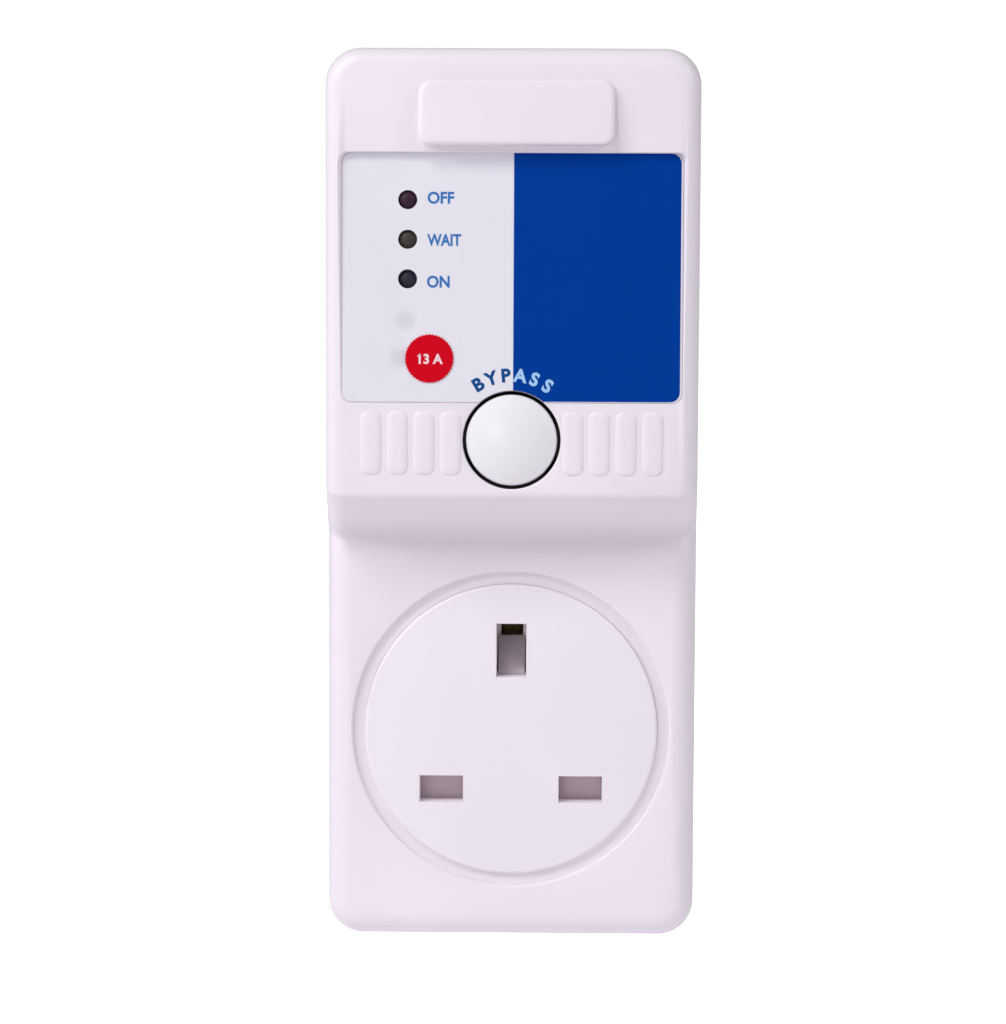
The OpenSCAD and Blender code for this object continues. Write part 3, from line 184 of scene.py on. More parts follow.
class Graph:
    """The node tree of a material or of the world."""

    MIX_FACTOR, MIX_A, MIX_B, MIX_RESULT = 0, 6, 7, 2

    def __init__(self, owner: bpy.types.Material | bpy.types.World) -> None:
        """Start an empty tree.

        Args:
            owner: The material or world that the tree belongs to.
        """
        owner.use_nodes = True
        self.owner = owner
        self.tree = owner.node_tree
        self.tree.nodes.clear()

    @classmethod
    def material(cls, name: str) -> "Graph":
        """Start the tree of a new material."""
        return cls(bpy.data.materials.new(name))

    def node(self, kind: str, settings: dict[str, Any] | None = None,
             values: dict[str | int, Any] | None = None) -> bpy.types.Node:
        """Add a node, set it up and feed its sockets.

        Args:
            kind: The node's type.
            settings: The node's own settings.
            values: A number, a colour or a signal for each named or numbered input.

        Returns:
            The new node.
        """
        made = self.tree.nodes.new(kind)
        for name, value in (settings or {}).items():
            setattr(made, name, value)
        for name, value in (values or {}).items():
            if isinstance(value, Signal):
                self.tree.links.new(value.socket, made.inputs[name])
            else:
                made.inputs[name].default_value = value
        return made

    def signal(self, kind: str, settings: dict[str, Any] | None = None,
               values: dict[str | int, Any] | None = None, output: str | int = 0) -> Signal:
        """Add a node like node() does, and give one of its outputs."""
        return Signal(self, self.node(kind, settings, values).outputs[output])

    def math(self, operation: str, *terms: Term) -> Signal:
        """Work out one step of a sum."""
        return self.signal("ShaderNodeMath", {"operation": operation}, dict(enumerate(terms)))

    def place(self, shift: Vector | None = None) -> Signal:
        """Give the place on the piece in metres, shifted if that is asked for."""
        here = self.signal("ShaderNodeTexCoord", output="Object")
        if shift is None:
            return here
        return self.signal("ShaderNodeMapping", None, {"Vector": here, "Location": shift})

    def axes(self, here: Signal) -> tuple[Signal, Signal, Signal]:
        """Split a place into its x, y and z."""
        made = self.node("ShaderNodeSeparateXYZ", None, {0: here})
        return tuple(Signal(self, out) for out in made.outputs)

    def radius(self, across: Signal, up: Signal) -> Signal:
        """Give how far a place is from where both distances are nought."""
        return self.math("SQRT", across * across + up * up)

    def noise(self, size: float, detail: float = 2.0, here: Signal | None = None,
              stretch: Sequence[float] | None = None) -> Signal:
        """Give a smooth random pattern.

        Args:
            size: The size of its patches in metres.
            detail: How many finer layers it has.
            here: The place to read it at.
            stretch: How much the patches are squeezed along each axis.

        Returns:
            A signal round 0.5.
        """
        at = here or self.place()
        if stretch is not None:
            at = self.signal("ShaderNodeMapping", None, {"Vector": at, "Scale": stretch})
        return self.signal("ShaderNodeTexNoise", None, {
            "Vector": at, "Scale": 1 / size, "Detail": detail})

    def wave(self, along: Signal, pitch: float) -> Signal:
        """Give a sine wave along a direction, from 0 to 1."""
        turned = self.math("SINE", along * (FULL_TURN / pitch))
        return turned * 0.5 + 0.5

    def step(self, value: Signal, low: float, high: float) -> Signal:
        """Rise smoothly from 0 to 1 while a value passes from low to high."""
        return self.signal("ShaderNodeMapRange", {"interpolation_type": "SMOOTHSTEP"}, {
            "Value": value, "From Min": low, "From Max": high})

    def blend(self, share: Term, low: Signal | Colour, high: Signal | Colour) -> Signal:
        """Mix two colours."""
        ends = [end if isinstance(end, Signal) else (*end, 1.0) for end in (low, high)]
        return self.signal("ShaderNodeMix", {"data_type": "RGBA"}, {
            self.MIX_FACTOR: share, self.MIX_A: ends[0], self.MIX_B: ends[1]},
            self.MIX_RESULT)

    def tones(self, share: Signal, colour: Colour, limits: tuple[float, float]) -> Signal:
        """Let a colour run between a darker and a lighter tone of itself."""
        return self.blend(share, shade(colour, limits[0]), shade(colour, limits[1]))

    def bump(self, height: Signal, depth: float) -> Signal:
        """Turn a height from 0 to 1 into a slope of the surface.

        Args:
            height: The pattern that rises and falls.
            depth: How many metres it rises.

        Returns:
            The normal for the shader.
        """
        return self.signal("ShaderNodeBump", None, {
            "Height": height, "Distance": depth, "Strength": 1.0})

    def finish(self, **values: Any) -> bpy.types.Material:
        """Close the tree with its shader.

        Args:
            values: The shader's inputs, with underscores in place of spaces.

        Returns:
            The finished material.
        """
        named = {name.replace("_", " "): value for name, value in values.items()}
        for name, value in named.items():
            if isinstance(value, tuple):
                named[name] = (*value, 1.0)
        shader = self.signal("ShaderNodeBsdfPrincipled", None, named)
        self.node("ShaderNodeOutputMaterial", None, {"Surface": shader})
        return self.owner


def shade(colour: Colour, factor: float) -> Colour:
    """Make a colour darker or lighter by a factor."""
    return tuple(min(1.0, part * factor) for part in colour)


class Finish(Protocol):
    """What every finish has: a name, and a way to build its material."""

    @property
    def name(self) -> str:
        """Give the material's name."""

    def make(self) -> bpy.types.Material:
        """Build the material."""


@dataclass(frozen=True)
class PaintedRoundPatch:
    """A round part of a surface coloured as painted light or shade, such as the painted shade on a
    gap's walls.
    """

    centre: Place
    radii: tuple[float, float]
    depths: tuple[float, float]
    # The default colour is the dark painted shade of a gap's walls.
    colour: Colour = (0.035, 0.015, 0.018)
    edge: float = 0.1 * MM

    def share(self, graph: Graph, here: Signal) -> Signal:
        """Give 1 between the patch's radii and depths, and 0 elsewhere."""
        x, y, z = graph.axes(here)
        out = graph.radius(x - self.centre[0], z - self.centre[1])
        beyond = graph.step(out, self.radii[0] - self.edge, self.radii[0])
        within = 1 - graph.step(out, self.radii[1], self.radii[1] + self.edge)
        return beyond * within * graph.step(y, *self.depths)


@dataclass(frozen=True)
class PaintedCreaseShade:
    """A level inner corner, darkened with painted shade."""

    height: float
    depths: tuple[float, float]
    reach: float = 4.2 * MM
    tone: float = 0.89

    def share(self, graph: Graph, here: Signal) -> Signal:
        """Give 1 in the corner, falling to 0 away from it."""
        _, y, z = graph.axes(here)
        near = 1 - graph.step(abs(z - self.height), 0.0, self.reach)
        return near * (1 - graph.step(y, *self.depths))


@dataclass(frozen=True)
class Moulded:
    """Moulded plastic with a fine grain, faint flow marks and slow changes of its gloss, and where
    asked, painted shade in a crease and a round patch of painted light or shade.
    """

    name: str
    colour: Colour
    roughness: float = 0.36
    spread: float = 0.03
    grain_size: float = 0.22 * MM
    grain_depth: float = 0.004 * MM
    flow_size: float = 16 * MM
    flow_stretch: tuple[float, float, float] = (1, 1, 0.35)
    flow_gloss: float = 0.05
    speckle_size: float = 1.3 * MM
    speckle_gloss: float = 0.03
    coat: float = 0.0
    coat_roughness: float = 0.12
    specular: float = 0.4
    # Painted light or shade of a round patch, and painted shade in a crease.
    painted_patch: PaintedRoundPatch | None = None
    crease_shade: PaintedCreaseShade | None = None

    def make(self) -> bpy.types.Material:
        """Build the material."""
        graph = Graph.material(self.name)
        flow = graph.noise(self.flow_size, detail=3, stretch=self.flow_stretch)
        grain = graph.noise(self.grain_size, detail=2)
        speckle = graph.noise(self.speckle_size, detail=4)
        tone = graph.tones(flow, self.colour, (1 - self.spread, 1 + self.spread))
        # Painted shade: the crease is darkened towards its shade tone.
        if self.crease_shade is not None:
            tone = graph.blend(self.crease_shade.share(graph, graph.place()), tone,
                               shade(self.colour, self.crease_shade.tone))
        # Painted light or shade: the round patch takes its own colour.
        if self.painted_patch is not None:
            tone = graph.blend(self.painted_patch.share(graph, graph.place()), tone, self.painted_patch.colour)
        gloss = (self.roughness + (speckle - 0.5) * self.speckle_gloss
                 + (flow - 0.5) * self.flow_gloss)
        return graph.finish(
            Base_Color=tone, Roughness=gloss, Normal=graph.bump(grain, self.grain_depth),
            Coat_Weight=self.coat, Coat_Roughness=self.coat_roughness,
            Specular_IOR_Level=self.specular)


@dataclass(frozen=True)
class Ink:
    """Screen printed ink or film: an even colour with small changes of its thickness, and round
    spots of painted shade where they are given.
    """

    name: str
    colour: Colour
    roughness: float = 0.45
    specular: float = 0.05
    cloud_size: float = 7 * MM
    cloud_tones: tuple[float, float] = (0.985, 1.015)
    cloud_gloss: float = 0.12
    mesh_size: float = 0.16 * MM
    mesh_depth: float = 0.002 * MM
    # Places of round spots of painted shade over the film's dimples.
    shaded_spots: tuple[Place, ...] = ()
    spot_fade: tuple[float, float] = (0.64 * MM, 2.08 * MM)
    spot_shade_tone: float = 0.87

    def make(self) -> bpy.types.Material:
        """Build the material."""
        graph = Graph.material(self.name)
        here = graph.place()
        cloud = graph.noise(self.cloud_size, detail=3, here=here)
        mesh = graph.noise(self.mesh_size, detail=1, here=here)
        tone = graph.tones(cloud, self.colour, self.cloud_tones)
        x, _, z = graph.axes(here)
        # Painted shade: each spot is darker, standing for the shade in a dimple.
        for at_x, at_z in self.shaded_spots:
            inside = 1 - graph.step(graph.radius(x - at_x, z - at_z), *self.spot_fade)
            tone = graph.blend(inside, tone, shade(self.colour, self.spot_shade_tone))
        return graph.finish(Base_Color=tone, Normal=graph.bump(mesh, self.mesh_depth),
                            Roughness=self.roughness + (cloud - 0.5) * self.cloud_gloss,
                            Specular_IOR_Level=self.specular)


@dataclass(frozen=True)
class Lens:
    """Tinted epoxy of an unlit lamp, darker at its core than at its rim."""

    name: str
    colour: Colour
    centre: Vector
    rim: tuple[float, float] = (0.5 * MM, 1.5 * MM)
    rim_share: float = 0.7
    rim_tone: float = 1.4
    haze_size: float = 0.5 * MM
    haze_gloss: float = 0.1
    roughness: float = 0.45
    ior: float = 1.5
    specular: float = 0.25

    def make(self) -> bpy.types.Material:
        """Build the material."""
        graph = Graph.material(self.name)
        x, _, z = graph.axes(graph.place(shift=-self.centre))
        rim = graph.step(graph.radius(x, z), *self.rim)
        haze = graph.noise(self.haze_size, detail=2)
        tone = graph.blend(rim * self.rim_share + haze * (1 - self.rim_share),
                           self.colour, shade(self.colour, self.rim_tone))
        return graph.finish(Base_Color=tone, Roughness=self.roughness + haze * self.haze_gloss,
                            IOR=self.ior, Specular_IOR_Level=self.specular)


@dataclass(frozen=True)
class Metal:
    """Bare or plated metal with fine marks of rolling and a dull patina."""

    name: str
    colour: Colour
    patina: Colour
    roughness: float = 0.3
    mark_size: float = 0.12 * MM
    mark_stretch: tuple[float, float, float] = (1, 0.06, 1)
    mark_gloss: float = 0.2
    mark_depth: float = 0.003 * MM
    stain_size: float = 4 * MM
    stain_rise: tuple[float, float] = (0.45, 0.75)
    stain_share: float = 0.5
    stain_gloss: float = 0.12
    stain_dulling: float = 0.15

    def make(self) -> bpy.types.Material:
        """Build the material."""
        graph = Graph.material(self.name)
        marks = graph.noise(self.mark_size, detail=3, stretch=self.mark_stretch)
        stain = graph.step(graph.noise(self.stain_size, detail=4), *self.stain_rise)
        tone = graph.blend(stain * self.stain_share, self.colour, self.patina)
        gloss = self.roughness + (marks - 0.5) * self.mark_gloss + stain * self.stain_gloss
        return graph.finish(Base_Color=tone, Roughness=gloss,
                            Metallic=1 - stain * self.stain_dulling,
                            Normal=graph.bump(marks, self.mark_depth))


@dataclass(frozen=True)
class Striped:
    """Layers that lie on each other: sheets of a core, or wire wound turn by turn."""

    name: str
    colour: Colour
    gap: Colour
    axis: int
    pitch: float
    depth: float
    metallic: float
    roughness: float = 0.35
    wobble_size: float = 2.5 * MM
    wobble_share: float = 0.35
    seam_share: float = 0.35
    seam_gloss: float = 0.3
    cloud_size: float = 3 * MM
    cloud_tones: tuple[float, float] = (0.85, 1.1)
    cloud_gloss: float = 0.1

    def make(self) -> bpy.types.Material:
        """Build the material."""
        graph = Graph.material(self.name)
        here = graph.place()
        wobble = graph.noise(self.wobble_size, detail=2, here=here) - 0.5
        along = graph.axes(here)[self.axis] + wobble * (self.pitch * self.wobble_share)
        layer = graph.wave(along, self.pitch)
        seam = graph.step(layer, 0.0, self.seam_share)
        cloud = graph.noise(self.cloud_size, detail=3, here=here)
        full = graph.tones(cloud, self.colour, self.cloud_tones)
        return graph.finish(
            Base_Color=graph.blend(seam, self.gap, full), Metallic=seam * self.metallic,
            Roughness=(self.roughness + (1 - seam) * self.seam_gloss
                       + (cloud - 0.5) * self.cloud_gloss),
            Normal=graph.bump(layer, self.depth))


@dataclass(frozen=True)
class Laminate:
    """Green solder mask over copper tracks, with the weave of the glass faintly showing."""

    name: str
    mask: Colour
    track: Colour
    cell: float = 7.62 * MM
    track_edge: tuple[float, float] = (0.10, 0.14)
    weave_pitch: float = 0.5 * MM
    weave_share: float = 0.25
    weave_tone: float = 0.6
    weave_gloss: float = 0.15
    weave_rise: float = 0.1
    track_rise: float = 0.03 * MM
    roughness: float = 0.3
    coat: float = 0.4
    coat_roughness: float = 0.15

    def make(self) -> bpy.types.Material:
        """Build the material."""
        graph = Graph.material(self.name)
        here = graph.place()
        x, _, z = graph.axes(here)
        nearest, second = (graph.signal(
            "ShaderNodeTexVoronoi", {"distance": "CHEBYCHEV", "feature": feature},
            {"Vector": here, "Scale": 1 / self.cell}, "Distance") for feature in ("F1", "F2"))
        copper = graph.step(second - nearest, *self.track_edge)
        weave = graph.wave(x, self.weave_pitch) * graph.wave(z, self.weave_pitch)
        tone = graph.blend(copper, self.mask, self.track)
        worn = graph.blend(weave * self.weave_share, tone, shade(self.mask, self.weave_tone))
        return graph.finish(
            Base_Color=worn, Roughness=self.roughness + weave * self.weave_gloss,
            Normal=graph.bump(copper + weave * self.weave_rise, self.track_rise),
            Coat_Weight=self.coat, Coat_Roughness=self.coat_roughness)


@dataclass(frozen=True)
class Bands:
    """A small round component's body with painted bands across its length."""

    name: str
    colour: Colour
    bands: tuple[tuple[float, Colour], ...]
    centres: tuple[float, ...]
    band_w: float = 0.55 * MM
    roughness: float = 0.4
    cloud_size: float = 1.5 * MM
    cloud_tones: tuple[float, float] = (0.92, 1.05)
    cloud_gloss: float = 0.1
    cloud_depth: float = 0.01 * MM
    coat: float = 0.3

    def make(self) -> bpy.types.Material:
        """Build the material."""
        graph = Graph.material(self.name)
        here = graph.place()
        x, _, _ = graph.axes(here)
        cloud = graph.noise(self.cloud_size, detail=2, here=here)
        tone = graph.tones(cloud, self.colour, self.cloud_tones)
        for centre in self.centres:
            for offset, paint in self.bands:
                on = abs(x - (centre + offset)) < self.band_w / 2
                tone = graph.blend(on, tone, paint)
        return graph.finish(Base_Color=tone, Normal=graph.bump(cloud, self.cloud_depth),
                            Roughness=self.roughness + (cloud - 0.5) * self.cloud_gloss,
                            Coat_Weight=self.coat)


@dataclass(frozen=True)
class Plain:
    """A pale glowing surface of the stage, whose glow may change towards the front."""

    name: str
    colour: Colour
    glow: Colour
    front_glow: Colour
    dims_between: tuple[float, float] = (-320 * MM, -150 * MM)
    mottle_size: float = 80 * MM
    mottle_tones: tuple[float, float] = (0.99, 1.0)
    roughness: float = 0.7

    def make(self) -> bpy.types.Material:
        """Build the material."""
        graph = Graph.material(self.name)
        here = graph.place()
        mottle = graph.noise(self.mottle_size, detail=3, here=here)
        tone = graph.tones(mottle, self.colour, self.mottle_tones)
        depth = graph.axes(here)[1]
        glow = graph.blend(graph.step(depth, *self.dims_between), self.front_glow, self.glow)
        return graph.finish(Base_Color=tone, Roughness=self.roughness, Emission_Color=glow,
                            Emission_Strength=1.0)


class Shape:
    """A piece on the bench, with the moves that shape it."""

    def __init__(self, obj: bpy.types.Object) -> None:
        """Take hold of a mesh object.

        Args:
            obj: The object, whose place becomes part of its mesh.
        """
        self.obj = obj
        self.apply()

    @staticmethod
    def clear() -> None:
        """Let go of everything that is selected."""
        if bpy.context.object is not None and bpy.context.object.mode != "OBJECT":
            bpy.ops.object.mode_set(mode="OBJECT")
        bpy.ops.object.select_all(action="DESELECT")

    @classmethod
    def block(cls, low: Sequence[float], high: Sequence[float]) -> "Shape":
        """Start from a block between two opposite corners."""
        cls.clear()
        low, high = Vector(low), Vector(high)
        bpy.ops.mesh.primitive_cube_add(size=1, location=(low + high) / 2, scale=high - low)
        return cls(bpy.context.object)

    @classmethod
    def rod(cls, x: float, z: float, radius: float, y_front: float, y_back: float,
            sides: int = Flats.POST) -> "Shape":
        """Start from a round rod along the depth."""
        cls.clear()
        bpy.ops.mesh.primitive_cylinder_add(
            vertices=sides, radius=radius, depth=y_back - y_front,
            location=(x, (y_front + y_back) / 2, z), rotation=(QUARTER_TURN, 0, 0))
        return cls(bpy.context.object)

    @classmethod
    def rods(cls, places: Iterable[Place], radius: float, y_front: float, y_back: float,
             sides: int = Flats.POST) -> list["Shape"]:
        """Start from a round rod at each place in x and z."""
        return [cls.rod(x, z, radius, y_front, y_back, sides) for x, z in places]

    @classmethod
    def slab(cls, low: Place, high: Place, y_front: float, y_back: float, corner: float,
             segments: int = 8) -> "Shape":
        """Start from a slab in x and z whose four corners are rounded."""
        made = cls.block((low[0], y_front, low[1]), (high[0], y_back, high[1]))
        made.edit()
        made.pick(Part.EDGES, lambda a, b: abs(a.y - b.y) > HAIR)
        bpy.ops.mesh.bevel(offset=corner, offset_type="OFFSET", segments=segments,
                           affect="EDGES", clamp_overlap=False)
        made.weld(outward=False)
        made.done()
        return made

    @classmethod
    def lathe(cls, profile: Sequence[Place], x: float, z: float, sides: int) -> "Shape":
        """Turn a profile about an axis along the depth.

        Args:
            profile: Points as radius and depth, the first and last of them on the axis.
            x: The axis's place to the right.
            z: The axis's height.
            sides: The number of flats round the axis.

        Returns:
            The closed solid.
        """
        cls.clear()
        first = Vector((x + profile[0][0], profile[0][1], z))
        bpy.ops.mesh.primitive_plane_add(size=MM, location=first)
        made = cls(bpy.context.object)
        made.edit()
        bpy.ops.mesh.select_mode(type="VERT")
        bpy.ops.mesh.select_all(action="SELECT")
        bpy.ops.mesh.merge(type="CENTER")
        at = first
        for radius, depth in profile[1:]:
            to = Vector((x + radius, depth, z))
            bpy.ops.mesh.extrude_region_move(TRANSFORM_OT_translate={"value": to - at})
            at = to
        bpy.ops.mesh.select_all(action="SELECT")
        bpy.ops.mesh.spin(steps=sides, angle=FULL_TURN, center=(x, 0, z), axis=(0, 1, 0),
                          use_normal_flip=False)
        made.weld()
        made.done()
        return made

    @classmethod
    def letters(cls, text: str, height: float, thickness: float, weight: float) -> "Shape":
        """Start from a word whose foot lies on z = 0 and whose middle is on x = 0."""
        cls.clear()
        bpy.ops.object.text_add(rotation=(QUARTER_TURN, 0, 0))
        curve = bpy.context.object.data
        curve.body = text
        curve.size = height / CAPITAL_SHARE
        curve.offset = weight
        curve.extrude = thickness / 2
        curve.align_x = "CENTER"
        curve.resolution_u = 6
        bpy.ops.object.convert(target="MESH")
        made = cls(bpy.context.object)
        made.edit()
        made.weld(FINE_WELD, outward=False)
        made.done()
        return made

    def activate(self) -> None:
        """Select this piece alone."""
        self.clear()
        self.obj.select_set(True)
        bpy.context.view_layer.objects.active = self.obj

    def edit(self) -> None:
        """Open the mesh."""
        self.activate()
        bpy.ops.object.mode_set(mode="EDIT")

    def done(self) -> None:
        """Close the mesh."""
        bpy.ops.object.mode_set(mode="OBJECT")

    def weld(self, gap: float = WELD, outward: bool = True) -> None:
        """Merge near points of the open mesh, and turn its faces outwards if that is wanted."""
        bpy.ops.mesh.select_mode(type="VERT")
        bpy.ops.mesh.select_all(action="SELECT")
        bpy.ops.mesh.remove_doubles(threshold=gap)
        if outward:
            bpy.ops.mesh.normals_make_consistent(inside=False)

    def slice(self, at: Sequence[float], normal: Sequence[float], **settings: Any) -> None:
        """Split the whole open mesh along a plane."""
        bpy.ops.mesh.select_all(action="SELECT")
        bpy.ops.mesh.bisect(plane_co=at, plane_no=normal, **settings)

    def apply(self) -> None:
        """Move the object's place, turn and scale into its mesh."""
        self.activate()
        bpy.ops.object.transform_apply(location=True, rotation=True, scale=True)

    def place(self, matrix: Matrix) -> "Shape":
        """Move the piece by a matrix."""
        self.obj.matrix_world = matrix @ self.obj.matrix_world
        self.apply()
        return self

    def pick(self, kind: Part, test: Test) -> int:
        """Select what passes a test, in the open mesh.

        Args:
            kind: What is tested.
            test: Gets a vertex's place, an edge's two ends, or a face's centre and normal.

        Returns:
            How many were selected.
        """
        bpy.ops.mesh.select_all(action="DESELECT")
        bpy.ops.mesh.select_mode(type=kind.value)
        bpy.ops.object.mode_set(mode="OBJECT")
        data = self.obj.data
        count = 0
        items = {Part.VERTS: data.vertices, Part.EDGES: data.edges, Part.FACES: data.polygons}
        for item in items[kind]:
            if kind is Part.VERTS:
                hit = test(item.co)
            elif kind is Part.EDGES:
                hit = test(*(data.vertices[i].co for i in item.vertices))
            else:
                hit = test(item.center, item.normal)
            item.select = bool(hit)
            count += bool(hit)
        bpy.ops.object.mode_set(mode="EDIT")
        return count

    def move(self, test: Test, by: Sequence[float]) -> None:
        """Move the vertices that pass a test, in the open mesh."""
        self.pick(Part.VERTS, test)
        bpy.ops.transform.translate(value=by)

    def widen(self, test: Test, grow: Sequence[float], centre: Sequence[float]) -> None:
        """Scale the vertices that pass a test about a point, in the open mesh."""
        self.pick(Part.VERTS, test)
        bpy.ops.transform.resize(value=grow, center_override=centre)

    def round_edges(self, test: Test, radius: float, segments: int = 4) -> "Shape":
        """Round the edges that pass a test."""
        self.edit()
        if self.pick(Part.EDGES, test):
            bpy.ops.mesh.bevel(offset=radius, offset_type="OFFSET", segments=segments,
                               affect="EDGES", clamp_overlap=True)
        self.done()
        return self

    def modify(self, kind: str, **settings: Any) -> "Shape":
        """Add a modifier, set it up and apply it."""
        self.activate()
        modifier = self.obj.modifiers.new(kind.lower(), kind)
        for name, value in settings.items():
            setattr(modifier, name, value)
        bpy.ops.object.modifier_apply(modifier=modifier.name)
        return self

    def gather(self, others: Iterable["Shape"]) -> "Shape":
        """Take other pieces into this one's mesh, without merging their solids."""
        others = list(others)
        if others:
            self.activate()
            for other in others:
                other.obj.select_set(True)
            bpy.ops.object.join()
        return self

    def combine(self, how: Join, *others: "Shape") -> "Shape":
        """Add, cut or keep what others share with this piece, and use them up."""
        tool = others[0].gather(others[1:])
        self.modify("BOOLEAN", operation=how.value, object=tool.obj, solver="EXACT")
        bpy.data.objects.remove(tool.obj)
        return self

    def copy(self, by: Sequence[float] = (0, 0, 0)) -> "Shape":
        """Make a copy with its own mesh, moved by a distance."""
        twin = self.obj.copy()
        twin.data = self.obj.data.copy()
        bpy.context.scene.collection.objects.link(twin)
        return Shape(twin).place(Matrix.Translation(Vector(by)))

    def hand_over(self, name: str, finish: bpy.types.Material, slot: Slot, body: Body,
                  *nodes: str, angle: float = 35.0) -> bpy.types.Object:
        """Name the finished piece, dress it and tie it to the frame.

        Args:
            name: The piece's name.
            finish: Its material.
            slot: The record's slot that the finish belongs to; not used.
            body: The body that it moves with.
            nodes: The CAD nodes that it stands for.
            angle: The sharpest angle in degrees that is still shaded smooth.

        Returns:
            The piece's object.
        """
        self.activate()
        self.obj.name = name
        self.obj.data.name = name
        self.obj.data.materials.clear()
        self.obj.data.materials.append(finish)
        bpy.ops.object.shade_smooth_by_angle(angle=math.radians(angle))
        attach(self.obj, body.value)
        if nodes:
            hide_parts(*nodes)
        LOG.info("%s: %d faces", name, len(self.obj.data.polygons))
        return self.obj


def dress(finish: bpy.types.Material, *nodes: str) -> None:
    """Give CAD nodes that stay a better material."""
    for name in nodes:
        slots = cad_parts[name].data.materials
        slots.clear()
        slots.append(finish)
        LOG.info("%s: dressed", name)


def quarter(steps: int) -> list[float]:
    """Give the turns of a quarter circle in equal steps, both ends included."""
    return [QUARTER_TURN * i / steps for i in range(steps + 1)]


def both_sides(x: float, *heights: float) -> list[Place]:
    """Give the places left and right of the middle at each height."""
    return [(side * x, z) for side in (-1, 1) for z in heights]


def flare(radius: float, y_mouth: float, y_end: float, mouth: float,
          steps: int = 4) -> list[Place]:
    """Give the profile of a round cutter that leaves a rounded mouth.

    Args:
        radius: The hole's radius.
        y_mouth: The depth of the face that it opens.
        y_end: The depth where it ends.
        mouth: The radius of the mouth's rounding.
        steps: The number of flats of the rounding.

    Returns:
        Points as radius and depth, from the axis in front to the axis at the end.
    """
    points = [(0.0, y_mouth - OVER), (radius + mouth, y_mouth - OVER)]
    points += [(radius + mouth - mouth * math.sin(turn), y_mouth + mouth - mouth * math.cos(turn))
               for turn in quarter(steps)]
    return points + [(radius, y_end), (0.0, y_end)]


FRONT_LOW, FRONT_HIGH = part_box("front_shell")
FACE_LOW, FACE_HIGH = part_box("socket_faceplate")
CHIN_FOOT_Z = 30.8 * MM
LABEL_LOW_Z = 52.9 * MM
DIMPLES: tuple[Place, ...] = ((-16.3 * MM, 12.5 * MM), (-17.4 * MM, 6.7 * MM))
BUTTON_AT: Place = (0.0, 47.0 * MM)
SHUTTER_CAM_AT: Place = (0.0, 12 * MM)


